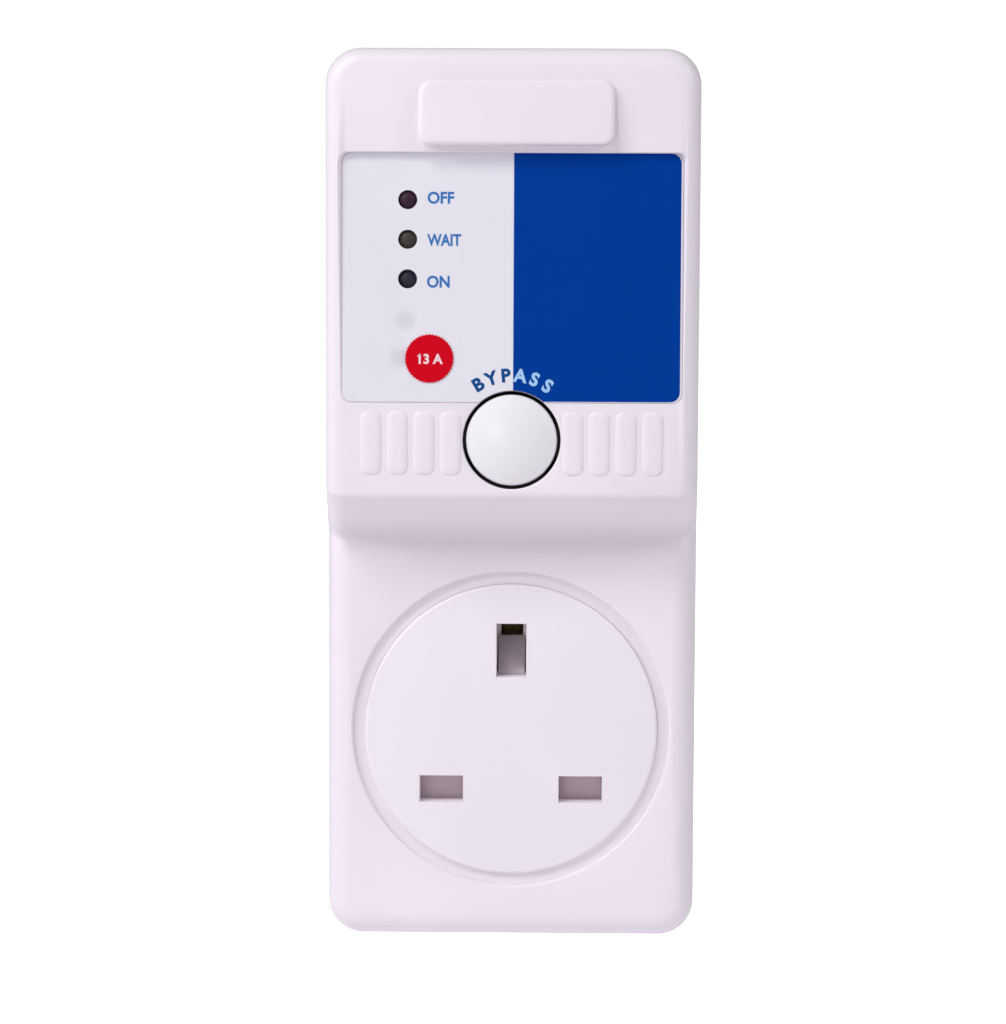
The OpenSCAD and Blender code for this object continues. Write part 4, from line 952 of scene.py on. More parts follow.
@dataclass(frozen=True)
class HoodedForm:
    """The block with the hood that stands out from it, for its outside or its inside.

    Each rounded edge has a radius of its own, as a share of one bevel that is unit_r wide.
    """

    half_w: float = FRONT_HIGH.x
    z_low: float = FRONT_LOW.z
    z_top: float = FRONT_HIGH.z
    y_back: float = FRONT_HIGH.y
    y_plate: float = FACE_LOW.y
    hood_depth: float = 10 * MM
    chin_z: float = CHIN_FOOT_Z
    chin_h: float = 7.2 * MM
    lean_share: float = 0.035
    corner_r: float = 5.6 * MM
    plate_r: float = 3.5 * MM
    hood_r: float = 2.8 * MM
    chin_r: float = 1.6 * MM
    foot_r: float = 2.2 * MM
    joint_r: float = 0.25 * MM
    wall: float = 2.2 * MM
    unit_r: float = 4.0 * MM
    edge_segments: int = 6
    corner_segments: int = 10
    corner_beyond: float = 20 * MM
    corner_run: float = 5 * MM
    corner_drift: tuple[float, float] = (3 * MM, 2 * MM)

    @property
    def y_hood(self) -> float:
        """Give the depth of the hood's face."""
        return self.y_plate - self.hood_depth

    @property
    def chin_angle(self) -> float:
        """Give half the turn between the chin's slope and the faces beside it."""
        return math.atan2(self.hood_depth, self.chin_h) / 2

    def lean(self, depth: float) -> float:
        """Give how far the sides have leaned in at a depth."""
        return self.lean_share * max(0.0, self.y_back - depth)

    def inside(self) -> "HoodedForm":
        """Give the form of the space that a wall leaves inside."""
        slant = math.hypot(self.chin_h, self.hood_depth) / self.hood_depth
        return replace(
            self, half_w=self.half_w - self.wall, z_low=self.z_low + self.wall,
            z_top=self.z_top - self.wall, y_plate=self.y_plate + self.wall,
            chin_z=self.chin_z + self.wall * slant + self.wall * self.chin_h / self.hood_depth,
            corner_r=self.corner_r - self.wall, plate_r=self.plate_r - self.wall,
            hood_r=self.hood_r - self.wall, chin_r=self.hood_r - self.wall,
            joint_r=0.0)

    def build(self) -> Shape:
        """Shape the form from one block."""
        chin_top = self.chin_z + self.chin_h
        form = Shape.block((-self.half_w, self.y_plate, self.z_low),
                           (self.half_w, self.y_back, self.z_top))
        form.edit()
        form.slice((0, 0, self.chin_z), (0, 0, 1))
        form.pick(Part.FACES, lambda at, to: abs(at.y - self.y_plate) < HAIR and at.z > self.chin_z)
        bpy.ops.mesh.extrude_region_move(
            TRANSFORM_OT_translate={"value": (0, -self.hood_depth, 0)})
        form.move(lambda at: abs(at.y - self.y_hood) < HAIR and abs(at.z - self.chin_z) < HAIR,
                  (0, 0, self.chin_h))
        for depth in (self.y_plate, self.y_hood):
            form.widen(lambda at: abs(at.y - depth) < HAIR,
                       (1 - self.lean(depth) / self.half_w, 1, 1), (0, depth, 0))
            form.move(lambda at: abs(at.y - depth) < HAIR and at.z > self.z_top - HAIR,
                      (0, 0, -self.lean(depth)))
            form.move(lambda at: abs(at.y - depth) < HAIR and at.z < self.z_low + HAIR,
                      (0, 0, self.lean(depth)))
        bpy.ops.mesh.select_all(action="SELECT")
        bpy.ops.mesh.dissolve_limited(angle_limit=math.radians(1))
        form.pick(Part.EDGES, self._is_corner)
        bpy.ops.mesh.bevel(offset=self.corner_r, offset_type="OFFSET",
                           segments=self.corner_segments, affect="EDGES")
        form.done()
        self._weigh(form.obj.data, chin_top)
        return form.modify("BEVEL", limit_method="WEIGHT", width=self.unit_r,
                           segments=self.edge_segments, offset_type="OFFSET",
                           use_clamp_overlap=False, miter_inner="MITER_SHARP")

    def _is_corner(self, a: Vector, b: Vector) -> bool:
        """Tell whether an edge is one of the four long corners along the depth."""
        drift_x, drift_z = self.corner_drift
        return (abs(a.y - b.y) > self.corner_run and abs(a.x) > self.corner_beyond
                and abs(a.x - b.x) < drift_x and abs(a.z - b.z) < drift_z)

    def _weigh(self, data: bpy.types.Mesh, chin_top: float) -> None:
        """Give each edge that is rounded its share of the bevel."""
        weights = data.attributes.new("bevel_weight_edge", "FLOAT", "EDGE")
        for edge in data.edges:
            a, b = (data.vertices[i].co for i in edge.vertices)
            weights.data[edge.index].value = self._radius(a, b, chin_top) / self.unit_r

    def _radius(self, a: Vector, b: Vector, chin_top: float) -> float:
        """Give the bevel's offset for an edge between two points."""
        def both(test: Test) -> bool:
            return test(a) and test(b)
        if both(lambda at: abs(at.y - self.y_hood) < HAIR):
            if both(lambda at: abs(at.z - chin_top) < HAIR):
                return self.chin_r * math.tan(self.chin_angle)
            return self.hood_r
        if both(lambda at: abs(at.y - self.y_plate) < HAIR):
            if both(lambda at: abs(at.z - self.chin_z) < HAIR):
                return self.foot_r * math.tan(self.chin_angle)
            return self.plate_r
        if both(lambda at: abs(at.y - self.y_back) < HAIR):
            return self.joint_r
        if abs(abs(a.y - b.y) - self.hood_depth) < HAIR:
            return (self.plate_r + self.hood_r) / 2
        return 0.0


@dataclass
class Finishes:
    """The materials, each made once."""

    made: dict[str, bpy.types.Material] = field(default_factory=dict)

    def get(self, finish: Finish) -> bpy.types.Material:
        """Give a finish's material, made on its first use."""
        if finish.name not in self.made:
            self.made[finish.name] = finish.make()
        return self.made[finish.name]


# Painted shade: the walls of the button's gap are darkened, and so is the crease at the chin's
# foot.
CASE_PLASTIC = Moulded("case_plastic", (0.845, 0.785, 0.850), painted_patch=PaintedRoundPatch(
    BUTTON_AT, (7.3 * MM, 7.68 * MM), (-42.9 * MM, -42.6 * MM)),
    crease_shade=PaintedCreaseShade(CHIN_FOOT_Z, (-33.1 * MM, -32.6 * MM)))
REAR_PLASTIC = replace(CASE_PLASTIC, name="rear_plastic", painted_patch=None, crease_shade=None)
FACE_PLASTIC = Moulded("face_plastic", (0.850, 0.800, 0.860), roughness=0.32)
# Painted shade: the cap's side is darkened where it sinks into the gap.
BUTTON_PLASTIC = Moulded("button_plastic", (0.850, 0.830, 0.870), roughness=0.24, painted_patch=PaintedRoundPatch(
    BUTTON_AT, (6.8 * MM, 9 * MM), (-42.6 * MM, -42.2 * MM)))
INNER_PLASTIC = Moulded("inner_plastic", (0.74, 0.73, 0.70), roughness=0.5)
BLACK_PLASTIC = Moulded("black_plastic", (0.018, 0.018, 0.020), roughness=0.42)
# Painted light: a lighter round patch on the shutter behind the earth aperture.
SHUTTER_PLASTIC = Moulded("shutter_plastic", (0.58, 0.46, 0.50), roughness=0.5, painted_patch=PaintedRoundPatch(
    SHUTTER_CAM_AT, (0.0, 5 * MM), (-40 * MM, -39 * MM), (0.70, 0.60, 0.65)))
RELAY_PLASTIC = Moulded("relay_plastic", (0.012, 0.055, 0.25), roughness=0.28, coat=0.3)
DARK_RESIN = Moulded("dark_resin", (0.02, 0.02, 0.022), roughness=0.3, grain_size=0.1 * MM)
YELLOW_RESIN = Moulded("yellow_resin", (0.68, 0.46, 0.03), roughness=0.35, coat=0.3)
BLUE_RESIN = Moulded("blue_resin", (0.010, 0.07, 0.33), roughness=0.3, coat=0.4,
                     grain_size=0.6 * MM, grain_depth=0.02 * MM)
SLEEVE_BLUE = Moulded("sleeve_blue", (0.012, 0.022, 0.09), roughness=0.3, coat=0.3)
WIRE_BROWN = Moulded("wire_brown", (0.12, 0.045, 0.02), roughness=0.4)
WIRE_BLUE = Moulded("wire_blue", (0.01, 0.09, 0.36), roughness=0.4)
# Painted shade: darker round spots on the film over the two dimples.
LABEL_FILM = Ink("label_film", (0.775, 0.762, 0.84), specular=0.3,
                 shaded_spots=tuple((x, LABEL_LOW_Z + z) for x, z in DIMPLES))
PRINT_BLUE = Ink("print_blue", (0.0003, 0.044, 0.308), specular=0.02)
PRINT_PALE = Ink("print_pale", (0.36, 0.58, 0.86))
PRINT_WHITE = Ink("print_white", (0.85, 0.66, 0.72))
ARC_BLUE = Ink("arc_blue", (0.008, 0.075, 0.26))
WORD_BLUE = Ink("word_blue", (0.045, 0.18, 0.48))
STICKER_RED = Ink("sticker_red", (0.62, 0.0008, 0.012))
STEEL = Metal("steel", (0.62, 0.62, 0.64), (0.45, 0.43, 0.40), roughness=0.28)
BRASS = Metal("brass", (0.83, 0.62, 0.27), (0.55, 0.38, 0.16), roughness=0.25)
TINNED = Metal("tinned", (0.80, 0.76, 0.78), (0.60, 0.55, 0.56), roughness=0.5)
CORE_IRON = Striped("core_iron", (0.20, 0.20, 0.22), gap=(0.03, 0.025, 0.02), axis=1,
                    pitch=0.5 * MM, depth=0.05 * MM, metallic=0.8)
WINDING = Striped("winding", (0.62, 0.22, 0.07), gap=(0.12, 0.03, 0.01), axis=0,
                  pitch=0.32 * MM, depth=0.10 * MM, metallic=0.9, roughness=0.25)
RELAY_WINDING = replace(WINDING, name="relay_winding", axis=1, pitch=0.22 * MM)
BOARD = Laminate("board", mask=(0.008, 0.09, 0.035), track=(0.03, 0.19, 0.07))
RESISTOR_BODY = Bands("resistor_body", (0.55, 0.38, 0.20), (
    (-1.9 * MM, (0.25, 0.07, 0.02)), (-0.8 * MM, (0.01, 0.01, 0.01)),
    (0.3 * MM, (0.6, 0.1, 0.02)), (1.9 * MM, (0.5, 0.36, 0.08))), (0.0, 15 * MM))
DIODE_BODY = Bands("diode_body", (0.015, 0.015, 0.016), ((1.7 * MM, (0.6, 0.6, 0.62)),),
                   (-12.5 * MM, 12.5 * MM), band_w=0.8 * MM)


@dataclass
class Case:
    """The front shell, and the places that the rear shell, label and button share with it."""

    finishes: Finishes
    form: HoodedForm = field(default_factory=HoodedForm)
    pad_w: float = 30.2 * MM
    pad_x: float = 0.6 * MM
    pad_low_z: float = 92.4 * MM
    pad_h: float = 10.0 * MM
    pad_lift: float = 2.0 * MM
    pad_top_lift: float = 0.9 * MM
    pad_corner_r: float = 2.0 * MM
    pad_edge_r: float = 0.8 * MM
    rib_w: float = 3.3 * MM
    rib_h: float = 10.0 * MM
    rib_lift: float = 0.27 * MM
    rib_corner_r: float = 1.25 * MM
    rib_fall: float = 1.15 * MM
    rib_root: float = 0.03 * MM
    rib_first_x: float = 9.47 * MM
    rib_pitch: float = 4.13 * MM
    rib_z: float = 46.5 * MM
    rib_count: int = 4
    rib_steps: int = 6
    ring_r: float = 25.3 * MM
    ring_depth: float = 0.8 * MM
    ring_mouth: float = 0.35 * MM
    face_hole_r: float = 23.39 * MM
    button_z: float = BUTTON_AT[1]
    button_hole_r: float = 7.6 * MM
    button_mouth: float = 0.3 * MM
    lamp_x: float = -16.2 * MM
    lamp_z: float = 84.1 * MM
    lamp_pitch: float = 6.1 * MM
    lamp_count: int = 3
    lamp_hole_r: float = 1.6 * MM
    recess_margin: float = 0.03 * MM
    recess_mouth: float = 0.16 * MM
    recess_taper: float = 0.7
    screw_side: float = 6.5 * MM
    screw_under_top: float = 6.5 * MM
    screw_over_foot: float = 6.0 * MM
    screw_r: float = 1.5 * MM
    boss_r: float = 3.3 * MM
    board_screw_x: float = 22.0 * MM
    board_screw_z: tuple[float, float] = (64.2 * MM, 92.0 * MM)
    board_boss_r: float = 2.6 * MM
    board_screw_r: float = 1.1 * MM
    board_y: float = -32.5 * MM
    board_screw_end: float = -38.4 * MM
    case_screw_end: float = -18.1 * MM

    @property
    def screw_x(self) -> float:
        """Give how far the case screws stand from the middle."""
        return self.form.half_w - self.screw_side

    @property
    def screw_z(self) -> tuple[float, float]:
        """Give the heights of the lower and the upper case screws."""
        return self.form.z_low + self.screw_over_foot, self.form.z_top - self.screw_under_top

    @property
    def screws(self) -> list[Place]:
        """Give the places of the four case screws."""
        return both_sides(self.screw_x, *self.screw_z)

    @property
    def board_screws(self) -> list[Place]:
        """Give the places of the board's screws."""
        return both_sides(self.board_screw_x, *self.board_screw_z)

    @property
    def lamps(self) -> list[Place]:
        """Give the places of the lamps from the top down."""
        return [(self.lamp_x, self.lamp_z - i * self.lamp_pitch) for i in range(self.lamp_count)]

    def pad(self) -> Shape:
        """Shape the bare raised pad above the label."""
        y_face = self.form.y_hood
        low = (self.pad_x - self.pad_w / 2, self.pad_low_z)
        high = (self.pad_x + self.pad_w / 2, self.pad_low_z + self.pad_h)
        pad = Shape.slab(low, high, y_face - self.pad_lift, y_face + self.form.wall / 2,
                         self.pad_corner_r)
        fall = (self.pad_lift - self.pad_top_lift) / self.pad_h
        for vertex in pad.obj.data.vertices:
            if vertex.co.y < y_face:
                vertex.co.y += fall * (vertex.co.z - self.pad_low_z)
        return pad.round_edges(lambda a, b: a.y < y_face and b.y < y_face, self.pad_edge_r)

    def ribs(self) -> list[Shape]:
        """Shape one grip rib and copy it to both sides of the button."""
        y_face = self.form.y_hood
        root = y_face + self.rib_root
        rib = Shape.slab((-self.rib_w / 2, self.rib_z - self.rib_h / 2),
                         (self.rib_w / 2, self.rib_z + self.rib_h / 2),
                         root, y_face + self.form.wall / 2, self.rib_corner_r)
        rib.edit()
        rib.pick(Part.FACES, lambda at, to: abs(at.y - root) < HAIR)
        turns = quarter(self.rib_steps)
        for now, after in zip(turns, turns[1:]):
            bpy.ops.mesh.inset(
                thickness=self.rib_fall * (math.cos(now) - math.cos(after)),
                depth=(self.rib_lift + self.rib_root) * (math.sin(after) - math.sin(now)))
        rib.done()
        places = [side * (self.rib_first_x + i * self.rib_pitch)
                  for side in (-1, 1) for i in range(self.rib_count)]
        return [rib.copy((x, 0, 0)) for x in places[1:]] + [
            rib.place(Matrix.Translation((places[0], 0, 0)))]

    def bosses(self) -> Shape:
        """Shape the posts for the screws of the case and of the board."""
        form = self.form
        y_plate, y_hood = form.y_plate + form.wall / 2, form.y_hood + form.wall / 2
        low_z, high_z = self.screw_z
        posts = [*Shape.rods(both_sides(self.screw_x, low_z), self.boss_r, y_plate, form.y_back),
                 *Shape.rods(both_sides(self.screw_x, high_z), self.boss_r, y_hood, form.y_back),
                 *Shape.rods(self.board_screws, self.board_boss_r, y_hood, self.board_y)]
        return posts[0].gather(posts[1:])

    def recess(self, label: "Label") -> Shape:
        """Shape the cutter of the label's sloping recess, with its rounded mouth."""
        margin, mouth, reach = self.recess_margin, self.recess_mouth, label.reach
        half_w = label.width / 2 + margin
        cutter = Shape.slab((-half_w, -margin), (half_w, label.height + margin),
                            -reach, 0, label.corner_r + margin)
        cutter.edit()
        cutter.widen(lambda at: at.y < -OVER, (1 + self.recess_taper * reach / half_w, 1, 1),
                     (0, -reach, 0))
        cutter.done()
        cutter.place(label.place)
        y_face = self.form.y_hood
        cutter.edit()
        for depth in (mouth, 0.0):
            cutter.slice((0, y_face + depth, 0), (0, 1, 0))
        grow_x = 1 + 2 * mouth / (label.width + 2 * margin)
        grow_z = 1 + 2 * mouth / (label.height + 2 * margin)
        cutter.widen(lambda at: at.y < y_face + HAIR, (grow_x, 1, grow_z),
                     (0, 0, label.z_low + label.height / 2))
        cutter.done()
        return cutter

    def build_front(self, label: "Label") -> bpy.types.Object:
        """Build the front shell."""
        form = self.form
        shell = form.build()
        shell.combine(Join.ADD, self.pad(), *self.ribs())
        shell.combine(Join.CUT, replace(form.inside(), y_back=form.y_back + OVER).build())
        shell.combine(Join.ADD, self.bosses().combine(Join.KEEP, form.build()))
        shell.combine(Join.CUT, self.recess(label))
        y_in = form.y_hood + form.wall + OVER
        ring = flare(self.ring_r, form.y_plate, form.y_plate + self.ring_depth, self.ring_mouth)
        bore = flare(self.button_hole_r, form.y_hood, y_in, self.button_mouth)
        shell.combine(Join.CUT, Shape.lathe(ring, 0, 0, Flats.FACE),
                      Shape.lathe(bore, 0, self.button_z, Flats.BUTTON_HOLE))
        y_open = form.y_back + OVER
        shell.combine(
            Join.CUT,
            Shape.rod(0, 0, self.face_hole_r, form.y_plate, form.y_plate + 2 * form.wall,
                      Flats.FACE),
            *Shape.rods(self.lamps, self.lamp_hole_r, form.y_hood - OVER, y_in, Flats.BORE),
            *Shape.rods(self.screws, self.screw_r, self.case_screw_end, y_open, Flats.BORE),
            *Shape.rods(self.board_screws, self.board_screw_r, self.board_screw_end,
                        self.board_y + OVER, Flats.BORE))
        return shell.hand_over("case_front", self.finishes.get(CASE_PLASTIC), Slot.CASE_WHITE,
                               Body.CASE, "front_shell")


@dataclass
class RearShell:
    """The tray that lies on the wall socket."""

    finishes: Finishes
    case: Case
    edge_r: float = 1.5 * MM
    edge_segments: int = 6
    joint_segments: int = 3
    floor_t: float = 2.5 * MM
    lip_h: float = 1.6 * MM
    lip_t: float = 1.0 * MM
    slip: float = 0.2 * MM
    boss_r: float = 4.2 * MM
    head_r: float = 3.0 * MM
    head_depth: float = 3.6 * MM
    head_mouth: float = 0.3 * MM
    screw_r: float = 1.65 * MM
    pillar_r: float = 2.2 * MM
    pillar_at: tuple[Place, ...] = (
        (15 * MM, 12.5 * MM), (-15 * MM, 12.5 * MM), (0.0, -10 * MM))
    pillar_y: float = -11.5 * MM
    clamp_boss_at: Place = (14 * MM, 5 * MM)
    clamp_boss_r: float = 2.7 * MM
    clamp_boss_y: float = -4.5 * MM
    clamp_screw_r: float = 1.1 * MM
    clamp_screw_end: float = -1.7 * MM
    pin_fit: float = 0.1 * MM

    def tray(self) -> Shape:
        """Shape the tray, with its sides and its edge on the wall rounded."""
        form = self.case.form
        lean = form.lean_share * abs(form.y_back)
        tray = Shape.slab((-form.half_w, form.z_low), (form.half_w, form.z_top),
                          form.y_back, 0, form.corner_r, form.corner_segments)
        middle = (form.z_low + form.z_top) / 2
        half_h = (form.z_top - form.z_low) / 2
        tray.edit()
        tray.widen(lambda at: at.y > -HAIR, (1 - lean / form.half_w, 1, 1 - lean / half_h),
                   (0, 0, middle))
        tray.done()
        tray.round_edges(lambda a, b: a.y > -HAIR and b.y > -HAIR, self.edge_r,
                         self.edge_segments)
        tray.round_edges(lambda a, b: a.y < form.y_back + HAIR and b.y < form.y_back + HAIR,
                         form.joint_r, self.joint_segments)
        inset = form.wall + lean
        return tray.combine(Join.CUT, Shape.slab(
            (-form.half_w + inset, form.z_low + inset), (form.half_w - inset, form.z_top - inset),
            form.y_back - OVER, -self.floor_t, form.corner_r - form.wall))

    def posts(self) -> Shape:
        """Shape the screw posts, the pillars for the contact block and the clamp's posts."""
        form = self.case.form
        root, inset = -self.floor_t / 2, form.wall / 2
        limit = Shape.slab((-form.half_w + inset, form.z_low + inset),
                           (form.half_w - inset, form.z_top - inset),
                           form.y_back - OVER, 0, form.corner_r - inset)
        posts = Shape.rods(self.case.screws, self.boss_r, form.y_back, root)
        posts = posts[0].gather(posts[1:]).combine(Join.KEEP, limit)
        pillars = Shape.rods(self.pillar_at, self.pillar_r, self.pillar_y, root, Flats.BORE)
        clamps = Shape.rods(both_sides(*self.clamp_boss_at), self.clamp_boss_r,
                            self.clamp_boss_y, root, Flats.BORE)
        return posts.gather(pillars + clamps)

    def lip(self) -> Shape:
        """Shape the lip that centres the front shell."""
        form = self.case.form
        side = form.wall + self.slip + self.lip_h * form.lean_share
        outer = Shape.slab((-form.half_w + side, form.z_low + side),
                           (form.half_w - side, form.z_top - side),
                           form.y_back - self.lip_h, -self.floor_t / 2,
                           form.corner_r - form.wall)
        inset = form.wall + self.slip + self.lip_t
        inner = Shape.slab((-form.half_w + inset, form.z_low + inset),
                           (form.half_w - inset, form.z_top - inset),
                           form.y_back - self.lip_h - OVER, 0,
                           form.corner_r - form.wall - self.lip_t / 2)
        gaps = Shape.rods(self.case.screws, self.case.boss_r + self.slip,
                          form.y_back - self.lip_h - OVER, form.y_back, Flats.BORE)
        return outer.combine(Join.CUT, inner).combine(Join.CUT, *gaps)

    def build(self, pins: "PlugPins") -> bpy.types.Object:
        """Build the rear shell."""
        form = self.case.form
        shell = self.tray().combine(Join.ADD, self.lip())
        shell.combine(Join.ADD, self.posts())
        sunk = [(radius, -depth) for radius, depth in
                flare(self.head_r, 0, self.head_depth, self.head_mouth)]
        shell.combine(Join.CUT, *[Shape.lathe(sunk, x, z, Flats.WIDE_BORE)
                                      for x, z in self.case.screws])
        fit = self.pin_fit
        shell.combine(
            Join.CUT,
            *Shape.rods(self.case.screws, self.screw_r, form.y_back - OVER,
                        -self.head_depth + OVER, Flats.BORE),
            *Shape.rods(both_sides(*self.clamp_boss_at), self.clamp_screw_r,
                        self.clamp_boss_y - OVER, self.clamp_screw_end, Flats.SMALL_BORE),
            *[Shape.block((x - w / 2 - fit, -self.floor_t - OVER, z - h / 2 - fit),
                          (x + w / 2 + fit, OVER, z + h / 2 + fit))
              for x, z, w, h in pins.sections()])
        return shell.hand_over("case_rear", self.finishes.get(REAR_PLASTIC), Slot.CASE_WHITE,
                               Body.CASE, "rear_shell")


@dataclass
class Label:
    """The printed film on the hood, with its blue field, lettering and round sticker."""

    finishes: Finishes
    case: Case
    width: float = 52.6 * MM
    height: float = 38.4 * MM
    thickness: float = 0.25 * MM
    reach: float = 3 * MM
    z_low: float = LABEL_LOW_Z
    corner_r: float = 1.5 * MM
    corner_segments: int = 6
    recess_depth: float = 1.2 * MM
    ink_t: float = 0.05 * MM
    print_t: float = 0.03 * MM
    field_x: float = 0.2 * MM
    field_margin: float = 0.3 * MM
    field_foot: float = 0.13 * MM
    sticker_x: float = -12.8 * MM
    sticker_z: float = 6.7 * MM
    sticker_r: float = 3.8 * MM
    sticker_t: float = 0.15 * MM
    sticker_teeth: int = 44
    tooth_share: float = 1 / 24
    button_margin: float = 0.15 * MM
    lamp_window_r: float = 1.47 * MM
    word_x: float = -13.15 * MM
    word_h: float = 1.8 * MM
    word_weight: float = 0.07 * MM
    words: tuple[tuple[str, float, float], ...] = (
        ("OFF", 4.1 * MM, 0.37 * MM), ("WAIT", 5.25 * MM, -0.02 * MM),
        ("ON", 3.5 * MM, -0.35 * MM))
    arc_word: str = "BYPASS"
    arc_on_white: int = 3
    arc_r: float = 9.15 * MM
    arc_h: float = 2.05 * MM
    arc_step: float = 12.9
    arc_turn: float = -0.95
    arc_weight: float = 0.11 * MM
    number: str = "13 A"
    number_h: float = 1.5 * MM
    flag: tuple[float, float] = (0.55 * MM, 0.2 * MM)
    flag_turn: float = 40.0
    dimple_r: float = 1.9 * MM
    dimple_depth: float = 0.10 * MM
    dimple_segments: int = 96

    @property
    def place(self) -> Matrix:
        """Give the matrix that lays flat work on the label's sloping floor."""
        angle = math.atan2(self.recess_depth - self.thickness, self.height)
        floor = (0, self.case.form.y_hood + self.thickness, self.z_low)
        return Matrix.Translation(floor) @ Matrix.Rotation(-angle, 4, "X")

    def cut_button(self, work: Shape) -> Shape:
        """Cut the button's hole from a piece that already lies on the label's floor."""
        y_face = self.case.form.y_hood
        return work.combine(Join.CUT, Shape.rod(
            0, self.case.button_z, self.case.button_hole_r + self.button_margin,
            y_face - self.reach, y_face + self.reach, Flats.BUTTON_HOLE))

    def dish(self, x: float, z: float) -> Shape:
        """Shape the cutter of one shallow dimple as a large sphere's lowest part."""
        radius = (self.dimple_r ** 2 + self.dimple_depth ** 2) / (2 * self.dimple_depth)
        Shape.clear()
        bpy.ops.mesh.primitive_uv_sphere_add(
            segments=self.dimple_segments, ring_count=2 * self.dimple_segments, radius=radius,
            rotation=(QUARTER_TURN, 0, 0),
            location=(x, -self.thickness - radius + self.dimple_depth, z))
        dish = Shape(bpy.context.object)
        dish.edit()
        dish.slice((0, -self.thickness - OVER, 0), (0, 1, 0), clear_inner=True, use_fill=True)
        dish.done()
        return dish

    def build_film(self) -> None:
        """Build the white film with the holes and dimples for the lamps."""
        film = Shape.slab((-self.width / 2, 0), (self.width / 2, self.height),
                          -self.thickness, 0, self.corner_r, self.corner_segments)
        for x, z in DIMPLES:
            film.combine(Join.CUT, self.dish(x, z))
        film.place(self.place)
        self.cut_button(film)
        y_face = self.case.form.y_hood
        film.combine(Join.CUT, *Shape.rods(
            self.case.lamps, self.lamp_window_r, y_face - self.reach, y_face + self.reach,
            Flats.WIDE_BORE))
        film.hand_over("label_film", self.finishes.get(LABEL_FILM), Slot.LABEL_WHITE,
                       Body.CASE, "front_label")

    def build_field(self) -> None:
        """Build the blue printed field on the film's right half."""
        top = -self.thickness
        area = Shape.slab((-self.width / 2, self.field_foot),
                          (self.width / 2 - self.field_margin, self.height),
                          top - self.ink_t, top, self.corner_r, self.corner_segments)
        area.combine(Join.KEEP, Shape.block(
            (self.field_x, top - OVER, -OVER), (self.width, top + OVER, self.height + OVER)))
        area.place(self.place)
        self.cut_button(area)
        area.hand_over("blue_field", self.finishes.get(PRINT_BLUE), Slot.PRINT_BLUE,
                       Body.CASE, "label_print")

    def build_sticker(self) -> None:
        """Build the round red sticker with its small teeth."""
        front = -self.thickness - self.sticker_t
        disc = Shape.rod(self.sticker_x, self.sticker_z, self.sticker_r, front,
                         -self.thickness, 2 * self.sticker_teeth)
        centre = Vector((self.sticker_x, 0, self.sticker_z))
        inward = 1 - self.tooth_share

        def is_valley(at: Vector) -> bool:
            turn = math.atan2(at.z - centre.z, at.x - centre.x) * self.sticker_teeth / math.pi
            return round(turn) % 2 == 1
        disc.edit()
        disc.widen(is_valley, (inward, 1, inward), centre)
        disc.done()
        disc.place(self.place)
        disc.hand_over("round_sticker", self.finishes.get(STICKER_RED), Slot.STICKER_RED,
                       Body.CASE, "rating_sticker")

    def build_number(self) -> None:
        """Build the plain rating number, whose 1 gets a short flag that the font's lacks."""
        front = -self.thickness - self.sticker_t
        number = Shape.letters(self.number, self.number_h, self.print_t, self.word_weight)
        edge = min(corner[0] for corner in number.obj.bound_box)
        length, thick = self.flag
        flag = Shape.block((-length, -self.print_t / 2, -thick), (0, self.print_t / 2, 0))
        flag.place(Matrix.Translation((edge + thick, 0, self.number_h))
                   @ Matrix.Rotation(-math.radians(self.flag_turn), 4, "Y"))
        number.gather([flag])
        number.place(Matrix.Translation((self.sticker_x, front - self.print_t / 2,
                                         self.sticker_z - self.number_h / 2)))
        number.place(self.place)
        number.hand_over("sticker_number", self.finishes.get(PRINT_WHITE), Slot.LABEL_WHITE,
                         Body.CASE)

    def build_words(self) -> None:
        """Build the plain words beside the lamps and round the button."""
        front = -self.thickness - self.print_t / 2
        words = []
        for i, (text, width, rise) in enumerate(self.words):
            word = Shape.letters(text, self.word_h, self.print_t, self.word_weight)
            ends = [corner[0] for corner in word.obj.bound_box]
            word.place(Matrix.Diagonal((width / (max(ends) - min(ends)), 1, 1, 1)))
            z = self.case.lamp_z - i * self.case.lamp_pitch - self.z_low - self.word_h / 2
            words.append(word.place(Matrix.Translation(
                (self.word_x + width / 2, front, z + rise))))
        arc = []
        middle = (len(self.arc_word) - 1) / 2
        centre_z = self.case.button_z - self.z_low
        for i, text in enumerate(self.arc_word):
            turn = math.radians((middle - i) * self.arc_step + self.arc_turn)
            depth = front if i < self.arc_on_white else front - self.ink_t
            letter = Shape.letters(text, self.arc_h, self.print_t, self.arc_weight)
            arc.append(letter.place(
                Matrix.Translation((0, depth, centre_z)) @ Matrix.Rotation(-turn, 4, "Y")
                @ Matrix.Translation((0, 0, self.arc_r))))
        on_white, on_blue = arc[:self.arc_on_white], arc[self.arc_on_white:]
        for name, pieces, finish, slot in (
                ("lamp_words", words, WORD_BLUE, Slot.PRINT_BLUE),
                ("arc_on_white", on_white, ARC_BLUE, Slot.PRINT_BLUE),
                ("arc_on_blue", on_blue, PRINT_PALE, Slot.LABEL_WHITE)):
            pieces[0].gather(pieces[1:]).place(self.place).hand_over(
                name, self.finishes.get(finish), slot, Body.CASE)

    def build(self) -> None:
        """Build the label's pieces in order."""
        self.build_film()
        self.build_field()
        self.build_sticker()
        self.build_number()
        self.build_words()


